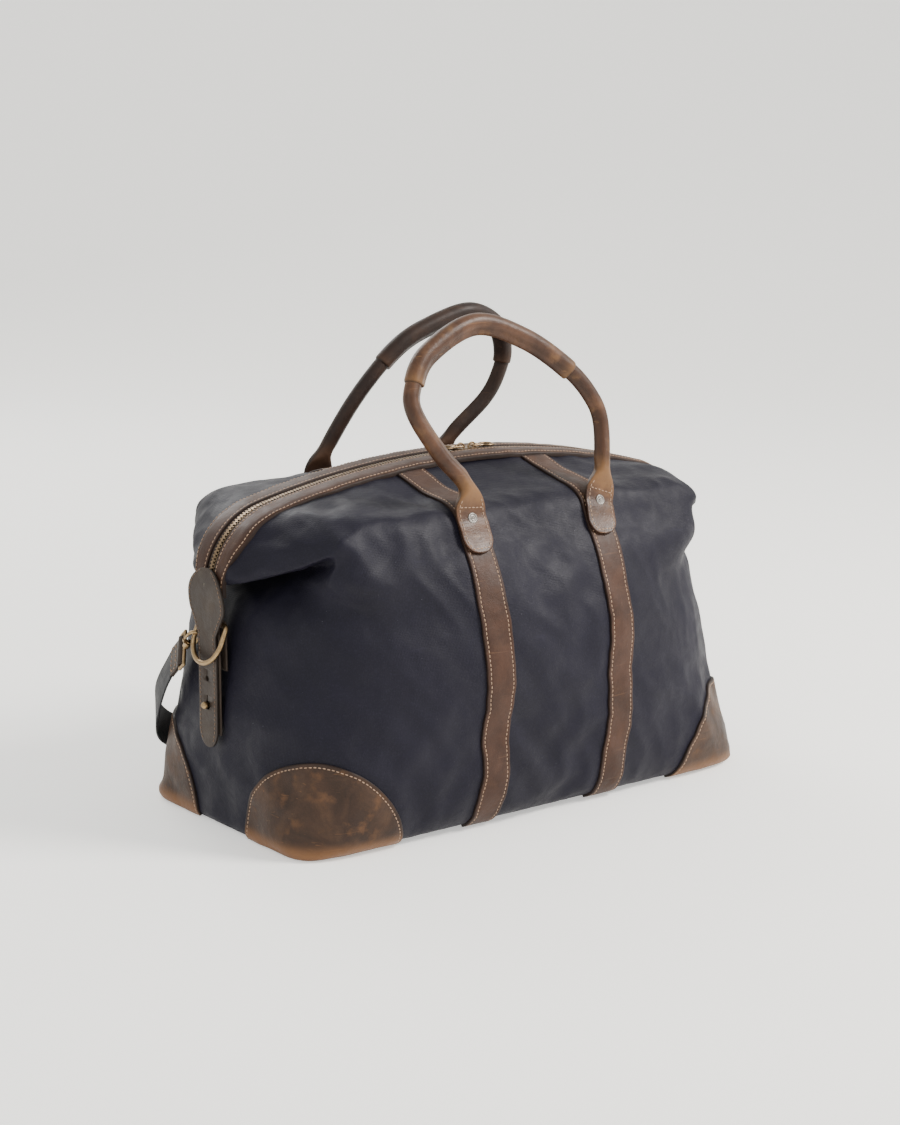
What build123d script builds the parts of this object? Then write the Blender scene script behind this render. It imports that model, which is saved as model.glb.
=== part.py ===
"""Canvas and leather weekend holdall, in millimetres.

Origin: on the floor under the middle of the base. +X runs to the bag's right end, -Y is the front and
+Z is up. Every canvas and leather layer is a thin solid cut from one stuffed-bag form, grown or shrunk
by the layer's depth.
The zip line and the end hardware are built on the right end and mirrored to the left.
"""
from build123d import *
import os
from math import asin, cos, degrees, radians, sin, sqrt

# Layers of the sewn body
LEATHER = 2.0
CANVAS = 1.6
LINING = 0.6
GAP = 0.1
TRIM = LEATHER + GAP  # outside of the leather trim, above the canvas surface

# Stuffed body: height above the canvas base, half length, half depth, squareness of the plan outline
LEVELS = [
    (0, 257, 129, 14),
    (20, 260, 146, 7),
    (48, 262, 155, 4.6),
    (76, 263, 160, 3.5),
    (122, 262, 165, 2.85),
    (164, 257, 166, 2.6),
    (205, 246, 157, 2.65),
    (238, 232, 140, 2.8),
    (268, 219, 121, 3.6),
]
CORNER_TURN = 28  # where a bowed side hands over to a corner arc
BASE_Z = TRIM  # underside of the canvas base: the bag stands on its leather

# Ridge that carries the zip: a long flat arc that bends down over each end
RIDGE_TOP = 317.2
ARC_RADIUS = 855
ARC_REACH = 212
BEND_RADIUS = 72
BEND_TURN = 88
RIDGE_HALF = 33
MOUTH_HALF = 18

# Roof: distance from the middle, half width and height of the shoulder, height of the roof's underside
ROOF = [
    (0, 120, 289, 240),
    (70, 120, 289, 240),
    (140, 118, 288, 240),
    (190, 113, 286, 240),
    (207, 106, 281, 246),
    (222, 90, 273, 246),
    (238, 66, 262, 242),
    (252, 46, 246, 232),
    (262, 35, 230, 222),
]
ROOF_FOLD_Y = 84  # the roof is steeper above this line than below it
ROOF_FOLD_SHARE = 0.15
WAIST_SHARE = 0.6  # the roof's side leans in above this share of its height
WAIST_LEAN = 0.163

# Seam between the long panels and the end gussets, seen from the front
SEAM_LOW_X = 252
SEAM_HIGH_X = 199
SEAM_HIGH_Z = 249
BASE_SEAM = 4

# Leather trim
STRAP_X = 72
STRAP_WIDTH = 30
STRAP_TOP_Y = 34
CORNER_REACH = 84
BOARD = (470, 224, 3)

# Zip: tape, facing, teeth
TAPE_LIFT = 0.2
TAPE_THICK = 0.55
TAPE_INNER = 3.5
TAPE_OUTER = 30
FACING_INNER = 7
FACING_LIFT = 0.85
CHAIN_LIFT = TAPE_LIFT + TAPE_THICK / 2
TOOTH_PITCH = 3.1
TOOTH_LONG = 1.2
TOOTH_HIGH = 2.6
TOOTH_ROOT = 3.4
TOOTH_TIP = 0.8
SPINE_INNER = 2.3
SPINE_THICK = 0.6

# Zip sliders: two meet off the middle when the bag is shut
MEETING_X = 18
SLIDER_LONG = 13
SLIDER_NOSE = 12.2
SLIDER_TAIL = 10.6
SLIDER_GAP = 0.5
PLATE = 1.3
PLATE_CLEAR = 0.15
RIM = 1.2
TAPE_SLOT = 0.15
POST_LONG = 3
POST_WIDE = 2.2
CROWN_WIRE = 0.9
CROWN_SPAN = 8.6
CROWN_RISE = 4.4
PULL_BAR = 0.9
PULL_KNUCKLE = 0.2  # how much fatter the corners of the pull are than its bars
PULL_BAR_RISE = 1.7
PULL_ARM = 11
PULL_HALF = 3.4
PULL_RING = 7
PULL_WIRE = 1.1

# End strap: shield over the zip's end, strap, and the buttoned tail
STRAP_FACE = 269.1
END_THICK = 2.6
END_HALF = 15
SHIELD_RADIUS = 29
SHIELD_Z = 212
SHIELD_TURN = 73
SHIELD_LIFT = 3.0
NECK_TOP = (27, 202)
NECK_LOW_Z = 182
TAIL_TOP_Z = 154
TAIL_SQUARE_Z = 97
TAIL_TIP_Z = 79
KEYHOLE = 4.0
KEYHOLE_SLOT = 2.4
KEYHOLE_RISE = 10
SPARE_HOLE = 2.6
SPARE_Z = 142

# D-ring, and the anchor strap that holds its bar
BAR_X = 264.3
BAR_Z = 192
WIRE = 2.3
RING_HALF = 22.3
RING_SIDE = 15
RING_CORNER = 4
RING_TILT = 21
LOOP_BORE = 2.38
ANCHOR_HALF = 16
ANCHOR_LOW_Z = 92
ANCHOR_BACK_Z = 175

# Button stud and its screw
STUD_Z = 117.6
STUD_HEAD = 3.4
STUD_NECK = 1.9
STUD_HOLE = 2.1
STUD_COLLAR = 4
STUD_INNER_X = 259.2
STUD_CANVAS_X = 263.2
SCREW = 1.2
SCREW_FLANGE = 6

# Handles: the roll's centre line, along X and up the lean from the hinge
HINGE_Y = 121
HINGE_Z = 298
LEAN = 13
ROLL = 6.2
CORE = 4.0
SLEEVE = 1.3
SLEEVE_GAP = 0.1
FRONT_ROLL = [
    (-74, 12), (-97, 41), (-119, 80), (-117, 104), (-96, 132), (-40, 155),
    (15, 138), (60, 107), (83, 80), (91, 54), (85, 12),
]
BACK_ROLL = [
    (-62, 12), (-32, 66), (8, 112), (48, 133), (92, 143),
    (128, 127), (142, 100), (140, 74), (127, 48), (90, 12),
]
GRIP = (0.27, 0.74)

# Handle tabs over the shoulder, and their rivets
TAB_THICK = 4.2
TAB_HALF = 16
TAB_LENGTH = 54
TAB_Y = 121
TAB_Z = 273
TAB_SLOPE = 55  # how steeply the tab falls, in degrees
RIVET = 1.5
RIVET_HOLE = 1.6
RIVET_UP = 8
RIVET_SEAT = 9.1
RIVET_HEAD = 4.4
RIVET_INNER = 1.6
WASHER = 6.6
WASHER_THICK = 0.8

# Snap hook on the D-ring, in the hook's own frame: X away from the ring, Z along the ring wire
HOOK_TURN = 86
HOOK_DROP = 40
HOOK_WIRE = 1.6
HOOK_HALF = 5.5
HOOK_SHIFT = 0.3
HOOK_SIDE = 9.4
GATE_WIRE = 1.2
BARREL = 3.2
BARREL_END = 20.5
STEM = 1.2
STEM_BORE = 1.25
STEM_HEAD = 2.2
EYE_WIRE = 1.6
EYE_HALF = 17.5
EYE_NEAR = 23
EYE_FAR = 32
CHAPE_HALF = 15
CHAPE_THICK = 1.8
CHAPE_BORE = 1.7
CHAPE_END = 52

# Shoulder strap draped behind the bag: plan outline of its inner face, and its edges seen from the end
WEBBING = 2.0
WEBBING_WIDTH = 31
DRAPE = (272.3, 172, 4.2)
DRAPE_TOP = [(160, 64), (172, 41.5), (192, 41.5)]
DRAPE_BOTTOM = [(192, 10.5), (168, 10.5), (150, 27)]
ADJUSTER_X = 96
ADJUSTER_Y = 170.4
ADJUSTER_Z = 28.5
ADJUSTER_SLOT = (4, 38.6)
ADJUSTER_WIRE = 1.4


def outline_point(half_x, half_y, power, turn):
    """A point of a rounded rectangle that gets squarer as power rises, at a turn in degrees."""
    c, s = cos(radians(turn)), sin(radians(turn))
    x = half_x * abs(c) ** (2 / power) * (1 if c > 0 else -1)
    y = half_y * abs(s) ** (2 / power) * (1 if s > 0 else -1)
    return (x, y)


def outline(half_x, half_y, power):
    """Draws the plan outline of the bag: four bowed sides joined by four corner arcs."""
    spans = [(-CORNER_TURN, 0, CORNER_TURN), (CORNER_TURN, 45, 90 - CORNER_TURN)]
    for quarter in range(4):
        for span in spans:
            start, middle, end = [outline_point(half_x, half_y, power, t + 90 * quarter) for t in span]
            ThreePointArc(start, middle, end)


def arc_turn():
    """Half the angle that the long arc of the ridge spans."""
    return degrees(asin(ARC_REACH / ARC_RADIUS))


def arc_centre_z():
    return RIDGE_TOP - ARC_RADIUS


def bend_centre():
    """Centre, in X and Z, of the bend that carries the ridge down over the right end."""
    turn = radians(arc_turn())
    reach = ARC_RADIUS - BEND_RADIUS
    return reach * sin(turn), arc_centre_z() + reach * cos(turn)


def ridge_height(x):
    """Height of the canvas ridge at a distance x from the middle."""
    if x <= ARC_REACH:
        return arc_centre_z() + sqrt(ARC_RADIUS**2 - x**2)
    cx, cz = bend_centre()
    return cz + sqrt(BEND_RADIUS**2 - (x - cx) ** 2)


def on_arc(lift, turn):
    """A point, in X and Z, on the long arc lifted off the canvas."""
    radius = ARC_RADIUS + lift
    return (radius * sin(radians(turn)), arc_centre_z() + radius * cos(radians(turn)))


def on_bend(lift, turn):
    """A point, in X and Z, on the right-hand bend lifted off the canvas."""
    cx, cz = bend_centre()
    radius = BEND_RADIUS + lift
    return (cx + radius * sin(radians(turn)), cz + radius * cos(radians(turn)))


def ridge_band(low, high, near, far):
    """A strip that follows the whole ridge between two lifts and two distances to the +Y side."""
    start = arc_turn()
    middle = (start + BEND_TURN) / 2
    with BuildPart() as band:
        with BuildSketch(Plane.XZ.offset(-near)):
            with BuildLine():
                for lift in (low, high):
                    left, right = on_arc(lift, -start), on_arc(lift, start)
                    over, end = on_bend(lift, middle), on_bend(lift, BEND_TURN)
                    ThreePointArc((-end[0], end[1]), (-over[0], over[1]), left)
                    ThreePointArc(left, on_arc(lift, 0), right)
                    ThreePointArc(right, over, end)
                first, last = on_bend(low, BEND_TURN), on_bend(high, BEND_TURN)
                Line(first, last)
                Line((-first[0], first[1]), (-last[0], last[1]))
            make_face()
        extrude(amount=-(far - near))
    return band.part


def stuffed_body(grow):
    """The side walls of the stuffed bag, as one solid, grown outward."""
    with BuildPart() as walls:
        for height, half_x, half_y, power in LEVELS:
            level = BASE_Z + height + (grow if height == LEVELS[-1][0] else -grow if height == 0 else 0)
            with BuildSketch(Plane.XY.offset(level)):
                with BuildLine():
                    outline(half_x + grow, half_y + grow, power)
                make_face()
        loft()
    return walls.part


def roof_half(x, grow):
    """Corner points, in Y and Z, of the right half of the roof's section at a distance x from the middle."""
    half_y, shoulder_z, under_z = [row[1:] for row in ROOF if row[0] == x][0]
    ridge = ridge_height(x)
    fold_y = min(ROOF_FOLD_Y, (half_y + RIDGE_HALF) / 2)
    fold_z = shoulder_z + ROOF_FOLD_SHARE * (ridge - shoulder_z)
    rise = shoulder_z - under_z
    low = (half_y + grow, under_z - grow)
    waist = (half_y + grow, under_z + WAIST_SHARE * rise)
    shoulder = (half_y - WAIST_LEAN * rise + grow, shoulder_z + grow)
    return [low, waist, shoulder, (fold_y, fold_z + grow), (RIDGE_HALF, ridge + grow)]


def roof(grow):
    """The sloping roof from shoulders to ridge, with a wing that reaches out over each end."""
    reaches = [row[0] for row in ROOF]
    end = reaches[-1]
    with BuildPart() as top:
        for x in [-reach for reach in reversed(reaches[1:])] + reaches:
            half = roof_half(abs(x), grow)
            shift = grow if x == end else -grow if x == -end else 0
            with BuildSketch(Plane.YZ.offset(x + shift)):
                with BuildLine():
                    Polyline(*half, *[(-y, z) for y, z in reversed(half)], close=True)
                make_face()
        loft()
    return top.part


def body_form(grow):
    """The whole closed form of the bag, grown outward."""
    return stuffed_body(grow) + roof(grow)


def save(part, label):
    part.label = label
    export_step(part, f"parts/{label}.step")


def save_pair(part, name):
    """Saves a right-end piece and its mirror at the left end."""
    save(part, f"right_{name}")
    save(mirror(part, about=Plane.YZ), f"left_{name}")


def tube(path, outer, inner=0):
    """A round bar, or a tube when inner is given, along a path."""
    with BuildPart() as bar:
        with BuildSketch(Plane(origin=path @ 0, z_dir=path % 0)):
            Circle(outer)
            if inner:
                Circle(inner, mode=Mode.SUBTRACT)
        sweep(path=path)
    return bar.part


def zip_teeth_row(side):
    """Crowns and spine of one row of teeth; the rows stand half a pitch apart and part under the sliders."""
    arc, bend = ARC_RADIUS + CHAIN_LIFT, BEND_RADIUS + CHAIN_LIFT
    cx, cz = bend_centre()
    turn = arc_turn()
    step = degrees(TOOTH_PITCH / arc)
    end_step = degrees(TOOTH_PITCH / bend)
    on_end = int(radians(BEND_TURN - turn) * bend / TOOTH_PITCH)
    left_stop = degrees(asin((MEETING_X - SLIDER_LONG) / ARC_RADIUS))
    right_stop = degrees(asin((MEETING_X + SLIDER_LONG) / ARC_RADIUS))
    on_left = int((turn + left_stop) / step)
    on_right = int((turn - right_stop) / step)
    quarter = 0.25 * side
    groups = [
        (0, arc_centre_z(), arc, on_left, 90 + turn - step * (on_left - 0.5 - quarter), step),
        (0, arc_centre_z(), arc, on_right, 90 - turn + step * (0.5 + quarter), step),
        (cx, cz, bend, on_end, 90 - turn - end_step * (on_end - 0.5 - quarter), end_step),
        (-cx, cz, bend, on_end, 90 + turn + end_step * (0.5 + quarter), end_step),
    ]
    with BuildPart() as row:
        with BuildSketch(Plane.XZ.offset(TOOTH_TIP * side)):
            for x, z, radius, count, start, each in groups:
                with Locations((x, z)):
                    with PolarLocations(radius, count, start, each * (count - 1), endpoint=True):
                        Rectangle(TOOTH_HIGH, TOOTH_LONG)
        extrude(amount=-side * (TOOTH_TIP + TOOTH_ROOT))
        half = SPINE_THICK / 2
        near, far = sorted((side * SPINE_INNER, side * TOOTH_ROOT))
        add(ridge_band(CHAIN_LIFT - half, CHAIN_LIFT + half, near, far))
    return row.part


def handle_path(points, side):
    """Centre line of a handle on the side of the bag given by -1 for the front or 1 for the back."""
    lean = radians(LEAN)
    path = [(x, side * (HINGE_Y - up * sin(lean)), HINGE_Z + up * cos(lean)) for x, up in points]
    with BuildLine() as line:
        Spline(*path)
    return line.edge()


def on_zip(part, turn):
    """Carries a piece built at the top of the ridge along the long arc by a turn."""
    return part.rotate(Axis((0, 0, arc_centre_z()), (0, 1, 0)), turn)


def slider():
    """Slider with its nose towards +X, built at the top of the ridge."""
    top = RIDGE_TOP + CHAIN_LIFT + TOOTH_HIGH / 2 + PLATE_CLEAR
    bottom = RIDGE_TOP + CHAIN_LIFT - TOOTH_HIGH / 2 - PLATE_CLEAR
    slot_top = RIDGE_TOP + TAPE_LIFT + TAPE_THICK + TAPE_SLOT
    slot_bottom = RIDGE_TOP + TAPE_LIFT - TAPE_SLOT
    with BuildPart() as body:
        with BuildSketch(Plane.XY.offset(bottom - PLATE)) as shape:
            with BuildLine():
                Polyline(
                    (-SLIDER_LONG / 2, SLIDER_TAIL / 2), (SLIDER_LONG / 2, SLIDER_NOSE / 2),
                    (SLIDER_LONG / 2, -SLIDER_NOSE / 2), (-SLIDER_LONG / 2, -SLIDER_TAIL / 2), close=True,
                )
            make_face()
        extrude(amount=top - bottom + 2 * PLATE)
        fillet(body.edges().filter_by(Axis.Z), 1.5)
        with BuildSketch(Plane.XY.offset(bottom)):
            offset(shape.sketch, -RIM, mode=Mode.ADD)
            with Locations((0, 0)):
                Rectangle(2 * SLIDER_LONG, SLIDER_TAIL - 2 * RIM)
        extrude(amount=top - bottom, mode=Mode.SUBTRACT)
        with Locations((0, 0, slot_bottom)):
            Box(
                2 * SLIDER_LONG, 2 * SLIDER_NOSE, slot_top - slot_bottom,
                align=(Align.CENTER, Align.CENTER, Align.MIN), mode=Mode.SUBTRACT,
            )
        with Locations((SLIDER_LONG / 2 - POST_LONG / 2 - 0.6, 0, bottom - 0.2)):
            Box(POST_LONG, POST_WIDE, top - bottom + 0.4, align=(Align.CENTER, Align.CENTER, Align.MIN))
        add(crown(top + PLATE))
    return body.part


def crown(level):
    """Wire arch over a slider that holds the puller."""
    with BuildLine() as path:
        ThreePointArc((-CROWN_SPAN / 2, 0, level - 0.3), (0, 0, level + CROWN_RISE), (CROWN_SPAN / 2, 0, level - 0.3))
    return tube(path.wires()[0], CROWN_WIRE)


def puller():
    """Bar through the crown, two arms towards -X and a ring, built at the top of the ridge."""
    level = RIDGE_TOP + CHAIN_LIFT + TOOTH_HIGH / 2 + PLATE_CLEAR + PLATE + PULL_BAR_RISE
    with BuildPart() as pull:
        with Locations(Plane(origin=(0, PULL_HALF, level), z_dir=(0, -1, 0))):
            Cylinder(PULL_BAR, 2 * PULL_HALF, align=(Align.CENTER, Align.CENTER, Align.MIN))
        with Locations((0, PULL_HALF, level), (0, -PULL_HALF, level)):
            Sphere(PULL_BAR + PULL_KNUCKLE)
        for y in (PULL_HALF, -PULL_HALF):
            with Locations(Plane(origin=(0, y, level), z_dir=(-1, 0, 0))):
                Cylinder(PULL_BAR, PULL_ARM, align=(Align.CENTER, Align.CENTER, Align.MIN))
        with Locations((-PULL_ARM - PULL_RING + 0.8, 0, level)):
            Torus(PULL_RING, PULL_WIRE)
    return pull.part


os.makedirs("parts", exist_ok=True)

# ---- Forms shared by the sewn layers -------------------------------------------------------------------
form_canvas_out = body_form(0)
form_canvas_in = body_form(-CANVAS)
form_lining_out = body_form(-CANVAS - GAP)
form_lining_in = body_form(-CANVAS - GAP - LINING)
form_trim_in = body_form(GAP)
form_trim_out = body_form(TRIM)
form_tab_in = body_form(TRIM + GAP)
form_tab_out = body_form(TRIM + GAP + TAB_THICK)

# ---- Where the rivets and the studs pass through -------------------------------------------------------
tab_plane = Plane(
    origin=(STRAP_X, -TAB_Y, TAB_Z),
    x_dir=(1, 0, 0),
    z_dir=(0, -sin(radians(TAB_SLOPE)), cos(radians(TAB_SLOPE))),
)
rivet_plane = tab_plane.shift_origin(tab_plane.from_local_coords((0, RIVET_UP, 0)))
with BuildPart() as rivet_bore:
    with BuildSketch(rivet_plane.offset(-20)):
        Circle(RIVET_HOLE)
    extrude(amount=60)
    mirror(about=Plane.YZ)
    mirror(about=Plane.XZ)
with BuildPart() as stud_bore:
    with BuildSketch(Plane.YZ.offset(240)):
        with Locations((0, STUD_Z)):
            Circle(STUD_HOLE)
    extrude(amount=60)
    mirror(about=Plane.YZ)

# ---- Canvas body: front, back, two end gussets, base ---------------------------------------------------
with BuildPart() as mouth:
    add(ridge_band(-14, 12, 0, MOUTH_HALF))
    mirror(about=Plane.XZ)
with BuildPart() as ends:
    with BuildSketch(Plane.XZ.offset(-200)):
        with BuildLine():
            Polyline(
                (SEAM_LOW_X, -5), (SEAM_HIGH_X, SEAM_HIGH_Z), (222, SEAM_HIGH_Z), (238, 245), (252, 235.6),
                (262, 225.4), (280, 225.4), (280, -5), close=True,
            )
        make_face()
    extrude(amount=400)
    mirror(about=Plane.YZ)
with BuildPart() as canvas:
    add(form_canvas_out)
    add(form_canvas_in, mode=Mode.SUBTRACT)
    add(mouth.part, mode=Mode.SUBTRACT)
    add(rivet_bore.part, mode=Mode.SUBTRACT)
    add(stud_bore.part, mode=Mode.SUBTRACT)
with BuildPart() as base_panel:
    add(canvas.part)
    Box(600, 400, BASE_Z + BASE_SEAM, align=(Align.CENTER, Align.CENTER, Align.MIN), mode=Mode.INTERSECT)
save(base_panel.part, "base_panel")
with BuildPart() as sides:
    add(canvas.part)
    Box(600, 400, BASE_Z + BASE_SEAM, align=(Align.CENTER, Align.CENTER, Align.MIN), mode=Mode.SUBTRACT)
with BuildPart() as end_gussets:
    add(sides.part)
    add(ends.part, mode=Mode.INTERSECT)
with BuildPart() as long_panels:
    add(sides.part)
    add(ends.part, mode=Mode.SUBTRACT)
with BuildPart() as front_panel:
    add(long_panels.part)
    Box(600, 200, 400, align=(Align.CENTER, Align.MAX, Align.MIN), mode=Mode.INTERSECT)
save(front_panel.part, "front_panel")
with BuildPart() as back_panel:
    add(long_panels.part)
    Box(600, 200, 400, align=(Align.CENTER, Align.MIN, Align.MIN), mode=Mode.INTERSECT)
save(back_panel.part, "back_panel")
save(end_gussets.part.solids().sort_by(Axis.X)[-1], "right_end_gusset")
save(end_gussets.part.solids().sort_by(Axis.X)[0], "left_end_gusset")

with BuildPart() as lining:
    add(form_lining_out)
    add(form_lining_in, mode=Mode.SUBTRACT)
    add(mouth.part, mode=Mode.SUBTRACT)
    add(rivet_bore.part, mode=Mode.SUBTRACT)
    add(stud_bore.part, mode=Mode.SUBTRACT)
save(lining.part, "lining")
with BuildPart() as base_board:
    with BuildSketch(Plane.XY.offset(BASE_Z + CANVAS + GAP + LINING + GAP)):
        RectangleRounded(BOARD[0], BOARD[1], 20)
    extrude(amount=BOARD[2])
save(base_board.part, "base_board")

# ---- Leather trim: corner patches and the straps that wrap the bag -------------------------------------
with BuildPart() as corner_patch:
    with Locations((257, -129, BASE_Z)):
        Sphere(CORNER_REACH)
    add(form_trim_out, mode=Mode.INTERSECT)
    add(form_trim_in, mode=Mode.SUBTRACT)
save(corner_patch.part, "front_right_corner")
save(mirror(corner_patch.part, about=Plane.YZ), "front_left_corner")
save(mirror(corner_patch.part, about=Plane.XZ), "back_right_corner")
save(corner_patch.part.rotate(Axis.Z, 180), "back_left_corner")
with BuildPart() as wrap_strap:
    with Locations((STRAP_X, 0, 0)):
        Box(STRAP_WIDTH, 400, 400, align=(Align.CENTER, Align.CENTER, Align.MIN))
    add(form_trim_out, mode=Mode.INTERSECT)
    add(form_trim_in, mode=Mode.SUBTRACT)
    with Locations((STRAP_X, 0, 250)):
        Box(STRAP_WIDTH + 2, 2 * STRAP_TOP_Y, 100, align=(Align.CENTER, Align.CENTER, Align.MIN), mode=Mode.SUBTRACT)
    add(rivet_bore.part, mode=Mode.SUBTRACT)
save_pair(wrap_strap.part, "wrap_strap")

# ---- Zip -----------------------------------------------------------------------------------------------
back_tape = ridge_band(TAPE_LIFT, TAPE_LIFT + TAPE_THICK, TAPE_INNER, TAPE_OUTER)
save(back_tape, "back_zip_tape")
save(mirror(back_tape, about=Plane.XZ), "front_zip_tape")
back_facing = ridge_band(FACING_LIFT, FACING_LIFT + LEATHER, FACING_INNER, RIDGE_HALF)
save(back_facing, "back_zip_facing")
save(mirror(back_facing, about=Plane.XZ), "front_zip_facing")
slider_half_turn = degrees((SLIDER_LONG + SLIDER_GAP) / 2 / ARC_RADIUS)
meeting_turn = degrees(asin(MEETING_X / ARC_RADIUS))
save(zip_teeth_row(1), "back_zip_teeth")
save(zip_teeth_row(-1), "front_zip_teeth")
save(on_zip(slider(), meeting_turn - slider_half_turn), "left_zip_slider")
save(on_zip(puller(), meeting_turn - slider_half_turn), "left_zip_puller")
save(on_zip(mirror(slider(), about=Plane.YZ), meeting_turn + slider_half_turn), "right_zip_slider")
save(on_zip(mirror(puller(), about=Plane.YZ), meeting_turn + slider_half_turn), "right_zip_puller")

# ---- End strap with its shield, and the buttoned tail --------------------------------------------------
with BuildPart() as end_layer:
    with BuildSketch(Plane.XZ.offset(-40)):
        with BuildLine():
            top_in, top_out = on_bend(SHIELD_LIFT, SHIELD_TURN), on_bend(SHIELD_LIFT + END_THICK, SHIELD_TURN)
            turn_in, turn_out = on_bend(SHIELD_LIFT, 90), on_bend(SHIELD_LIFT + END_THICK, 90)
            middle = (SHIELD_TURN + 90) / 2
            ThreePointArc(top_in, on_bend(SHIELD_LIFT, middle), turn_in)
            Line(turn_in, (turn_in[0], TAIL_TIP_Z))
            Line((turn_in[0], TAIL_TIP_Z), (turn_out[0], TAIL_TIP_Z))
            Line((turn_out[0], TAIL_TIP_Z), turn_out)
            ThreePointArc(turn_out, on_bend(SHIELD_LIFT + END_THICK, middle), top_out)
            Line(top_out, top_in)
        make_face()
    extrude(amount=80)
with BuildPart() as end_strap:
    with BuildSketch(Plane.YZ.offset(240)):
        with Locations((0, SHIELD_Z)):
            Circle(SHIELD_RADIUS)
        with BuildLine():
            Polyline(
                NECK_TOP, (END_HALF, NECK_LOW_Z), (END_HALF, TAIL_TOP_Z + GAP), (-END_HALF, TAIL_TOP_Z + GAP),
                (-END_HALF, NECK_LOW_Z), (-NECK_TOP[0], NECK_TOP[1]), close=True,
            )
        make_face()
    extrude(amount=60)
    add(end_layer.part, mode=Mode.INTERSECT)
save_pair(end_strap.part, "end_strap")
with BuildPart() as strap_tail:
    with BuildSketch(Plane.YZ.offset(240)):
        with BuildLine():
            left, right = (-END_HALF, TAIL_SQUARE_Z), (END_HALF, TAIL_SQUARE_Z)
            shoulder = (END_HALF * 0.66, (TAIL_SQUARE_Z + TAIL_TIP_Z) / 2)
            Polyline(left, (-END_HALF, TAIL_TOP_Z), (END_HALF, TAIL_TOP_Z), right)
            ThreePointArc(right, shoulder, (0, TAIL_TIP_Z))
            ThreePointArc((0, TAIL_TIP_Z), (-shoulder[0], shoulder[1]), left)
        make_face()
        with Locations((0, STUD_Z - 0.2)):
            Circle(KEYHOLE, mode=Mode.SUBTRACT)
        with Locations((0, SPARE_Z)):
            Circle(SPARE_HOLE, mode=Mode.SUBTRACT)
        with Locations((0, STUD_Z + KEYHOLE_RISE / 2), (0, SPARE_Z + KEYHOLE_RISE / 2 - 1)):
            Rectangle(KEYHOLE_SLOT, KEYHOLE_RISE, mode=Mode.SUBTRACT)
    extrude(amount=60)
    add(end_layer.part, mode=Mode.INTERSECT)
save_pair(strap_tail.part, "strap_tail")

# ---- Anchor strap, D-ring, button stud -----------------------------------------------------------------
with BuildPart() as anchor_strap:
    with BuildSketch(Plane.XZ.offset(-ANCHOR_HALF)):
        with Locations((BAR_X, BAR_Z)):
            Circle(LOOP_BORE + LEATHER)
        with Locations((BAR_X + LOOP_BORE + LEATHER / 2, (BAR_Z + ANCHOR_LOW_Z) / 2)):
            Rectangle(LEATHER, BAR_Z - ANCHOR_LOW_Z)
        with Locations((BAR_X - LOOP_BORE - LEATHER / 2, (BAR_Z + ANCHOR_BACK_Z) / 2)):
            Rectangle(LEATHER, BAR_Z - ANCHOR_BACK_Z)
        with Locations((BAR_X, BAR_Z)):
            Circle(LOOP_BORE, mode=Mode.SUBTRACT)
        with Locations((BAR_X, BAR_Z - 10)):
            Rectangle(2 * LOOP_BORE, 20, mode=Mode.SUBTRACT)
    extrude(amount=2 * ANCHOR_HALF)
    add(stud_bore.part, mode=Mode.SUBTRACT)
save_pair(anchor_strap.part, "anchor_strap")

tilt = radians(RING_TILT)
ring_plane = Plane(origin=(BAR_X, 0, BAR_Z), x_dir=(0, 1, 0), z_dir=(-cos(tilt), 0, -sin(tilt)))
with BuildPart() as d_ring:
    with BuildLine(ring_plane) as ring_path:
        flat = RING_HALF - RING_CORNER
        soft = RING_CORNER * (1 - cos(radians(45)))
        Line((-flat, 0), (flat, 0))
        ThreePointArc((flat, 0), (RING_HALF - soft, soft), (RING_HALF, RING_CORNER))
        Line((RING_HALF, RING_CORNER), (RING_HALF, RING_SIDE))
        ThreePointArc((RING_HALF, RING_SIDE), (0, RING_SIDE + RING_HALF), (-RING_HALF, RING_SIDE))
        Line((-RING_HALF, RING_SIDE), (-RING_HALF, RING_CORNER))
        ThreePointArc((-RING_HALF, RING_CORNER), (-RING_HALF + soft, soft), (-flat, 0))
    with BuildSketch(Plane(origin=(BAR_X, -flat, BAR_Z), z_dir=(0, 1, 0))):
        Circle(WIRE)
    sweep(path=ring_path.wires()[0])
save_pair(d_ring.part, "d_ring")

with BuildPart() as button_stud:
    with Locations(Plane(origin=(STUD_INNER_X, 0, STUD_Z), z_dir=(1, 0, 0))):
        Cylinder(STUD_NECK, STRAP_FACE + 4 - STUD_INNER_X, align=(Align.CENTER, Align.CENTER, Align.MIN))
    with Locations(Plane(origin=(STUD_CANVAS_X, 0, STUD_Z), z_dir=(1, 0, 0))):
        collar = BAR_X + LOOP_BORE - GAP - STUD_CANVAS_X
        Cylinder(STUD_COLLAR, collar, align=(Align.CENTER, Align.CENTER, Align.MIN))
    with Locations((STRAP_FACE + END_THICK + STUD_HEAD - 0.5, 0, STUD_Z)):
        Sphere(STUD_HEAD)
    with Locations(Plane(origin=(STUD_INNER_X, 0, STUD_Z), z_dir=(1, 0, 0))):
        Cylinder(SCREW + GAP / 2, 8, align=(Align.CENTER, Align.CENTER, Align.MIN), mode=Mode.SUBTRACT)
save_pair(button_stud.part, "button_stud")
with BuildPart() as stud_screw:
    with Locations(Plane(origin=(STUD_INNER_X - 1.4, 0, STUD_Z), z_dir=(1, 0, 0))):
        Cylinder(SCREW_FLANGE, 1.2, align=(Align.CENTER, Align.CENTER, Align.MIN))
        Cylinder(SCREW, 8.4, align=(Align.CENTER, Align.CENTER, Align.MIN))
save_pair(stud_screw.part, "stud_screw")

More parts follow.
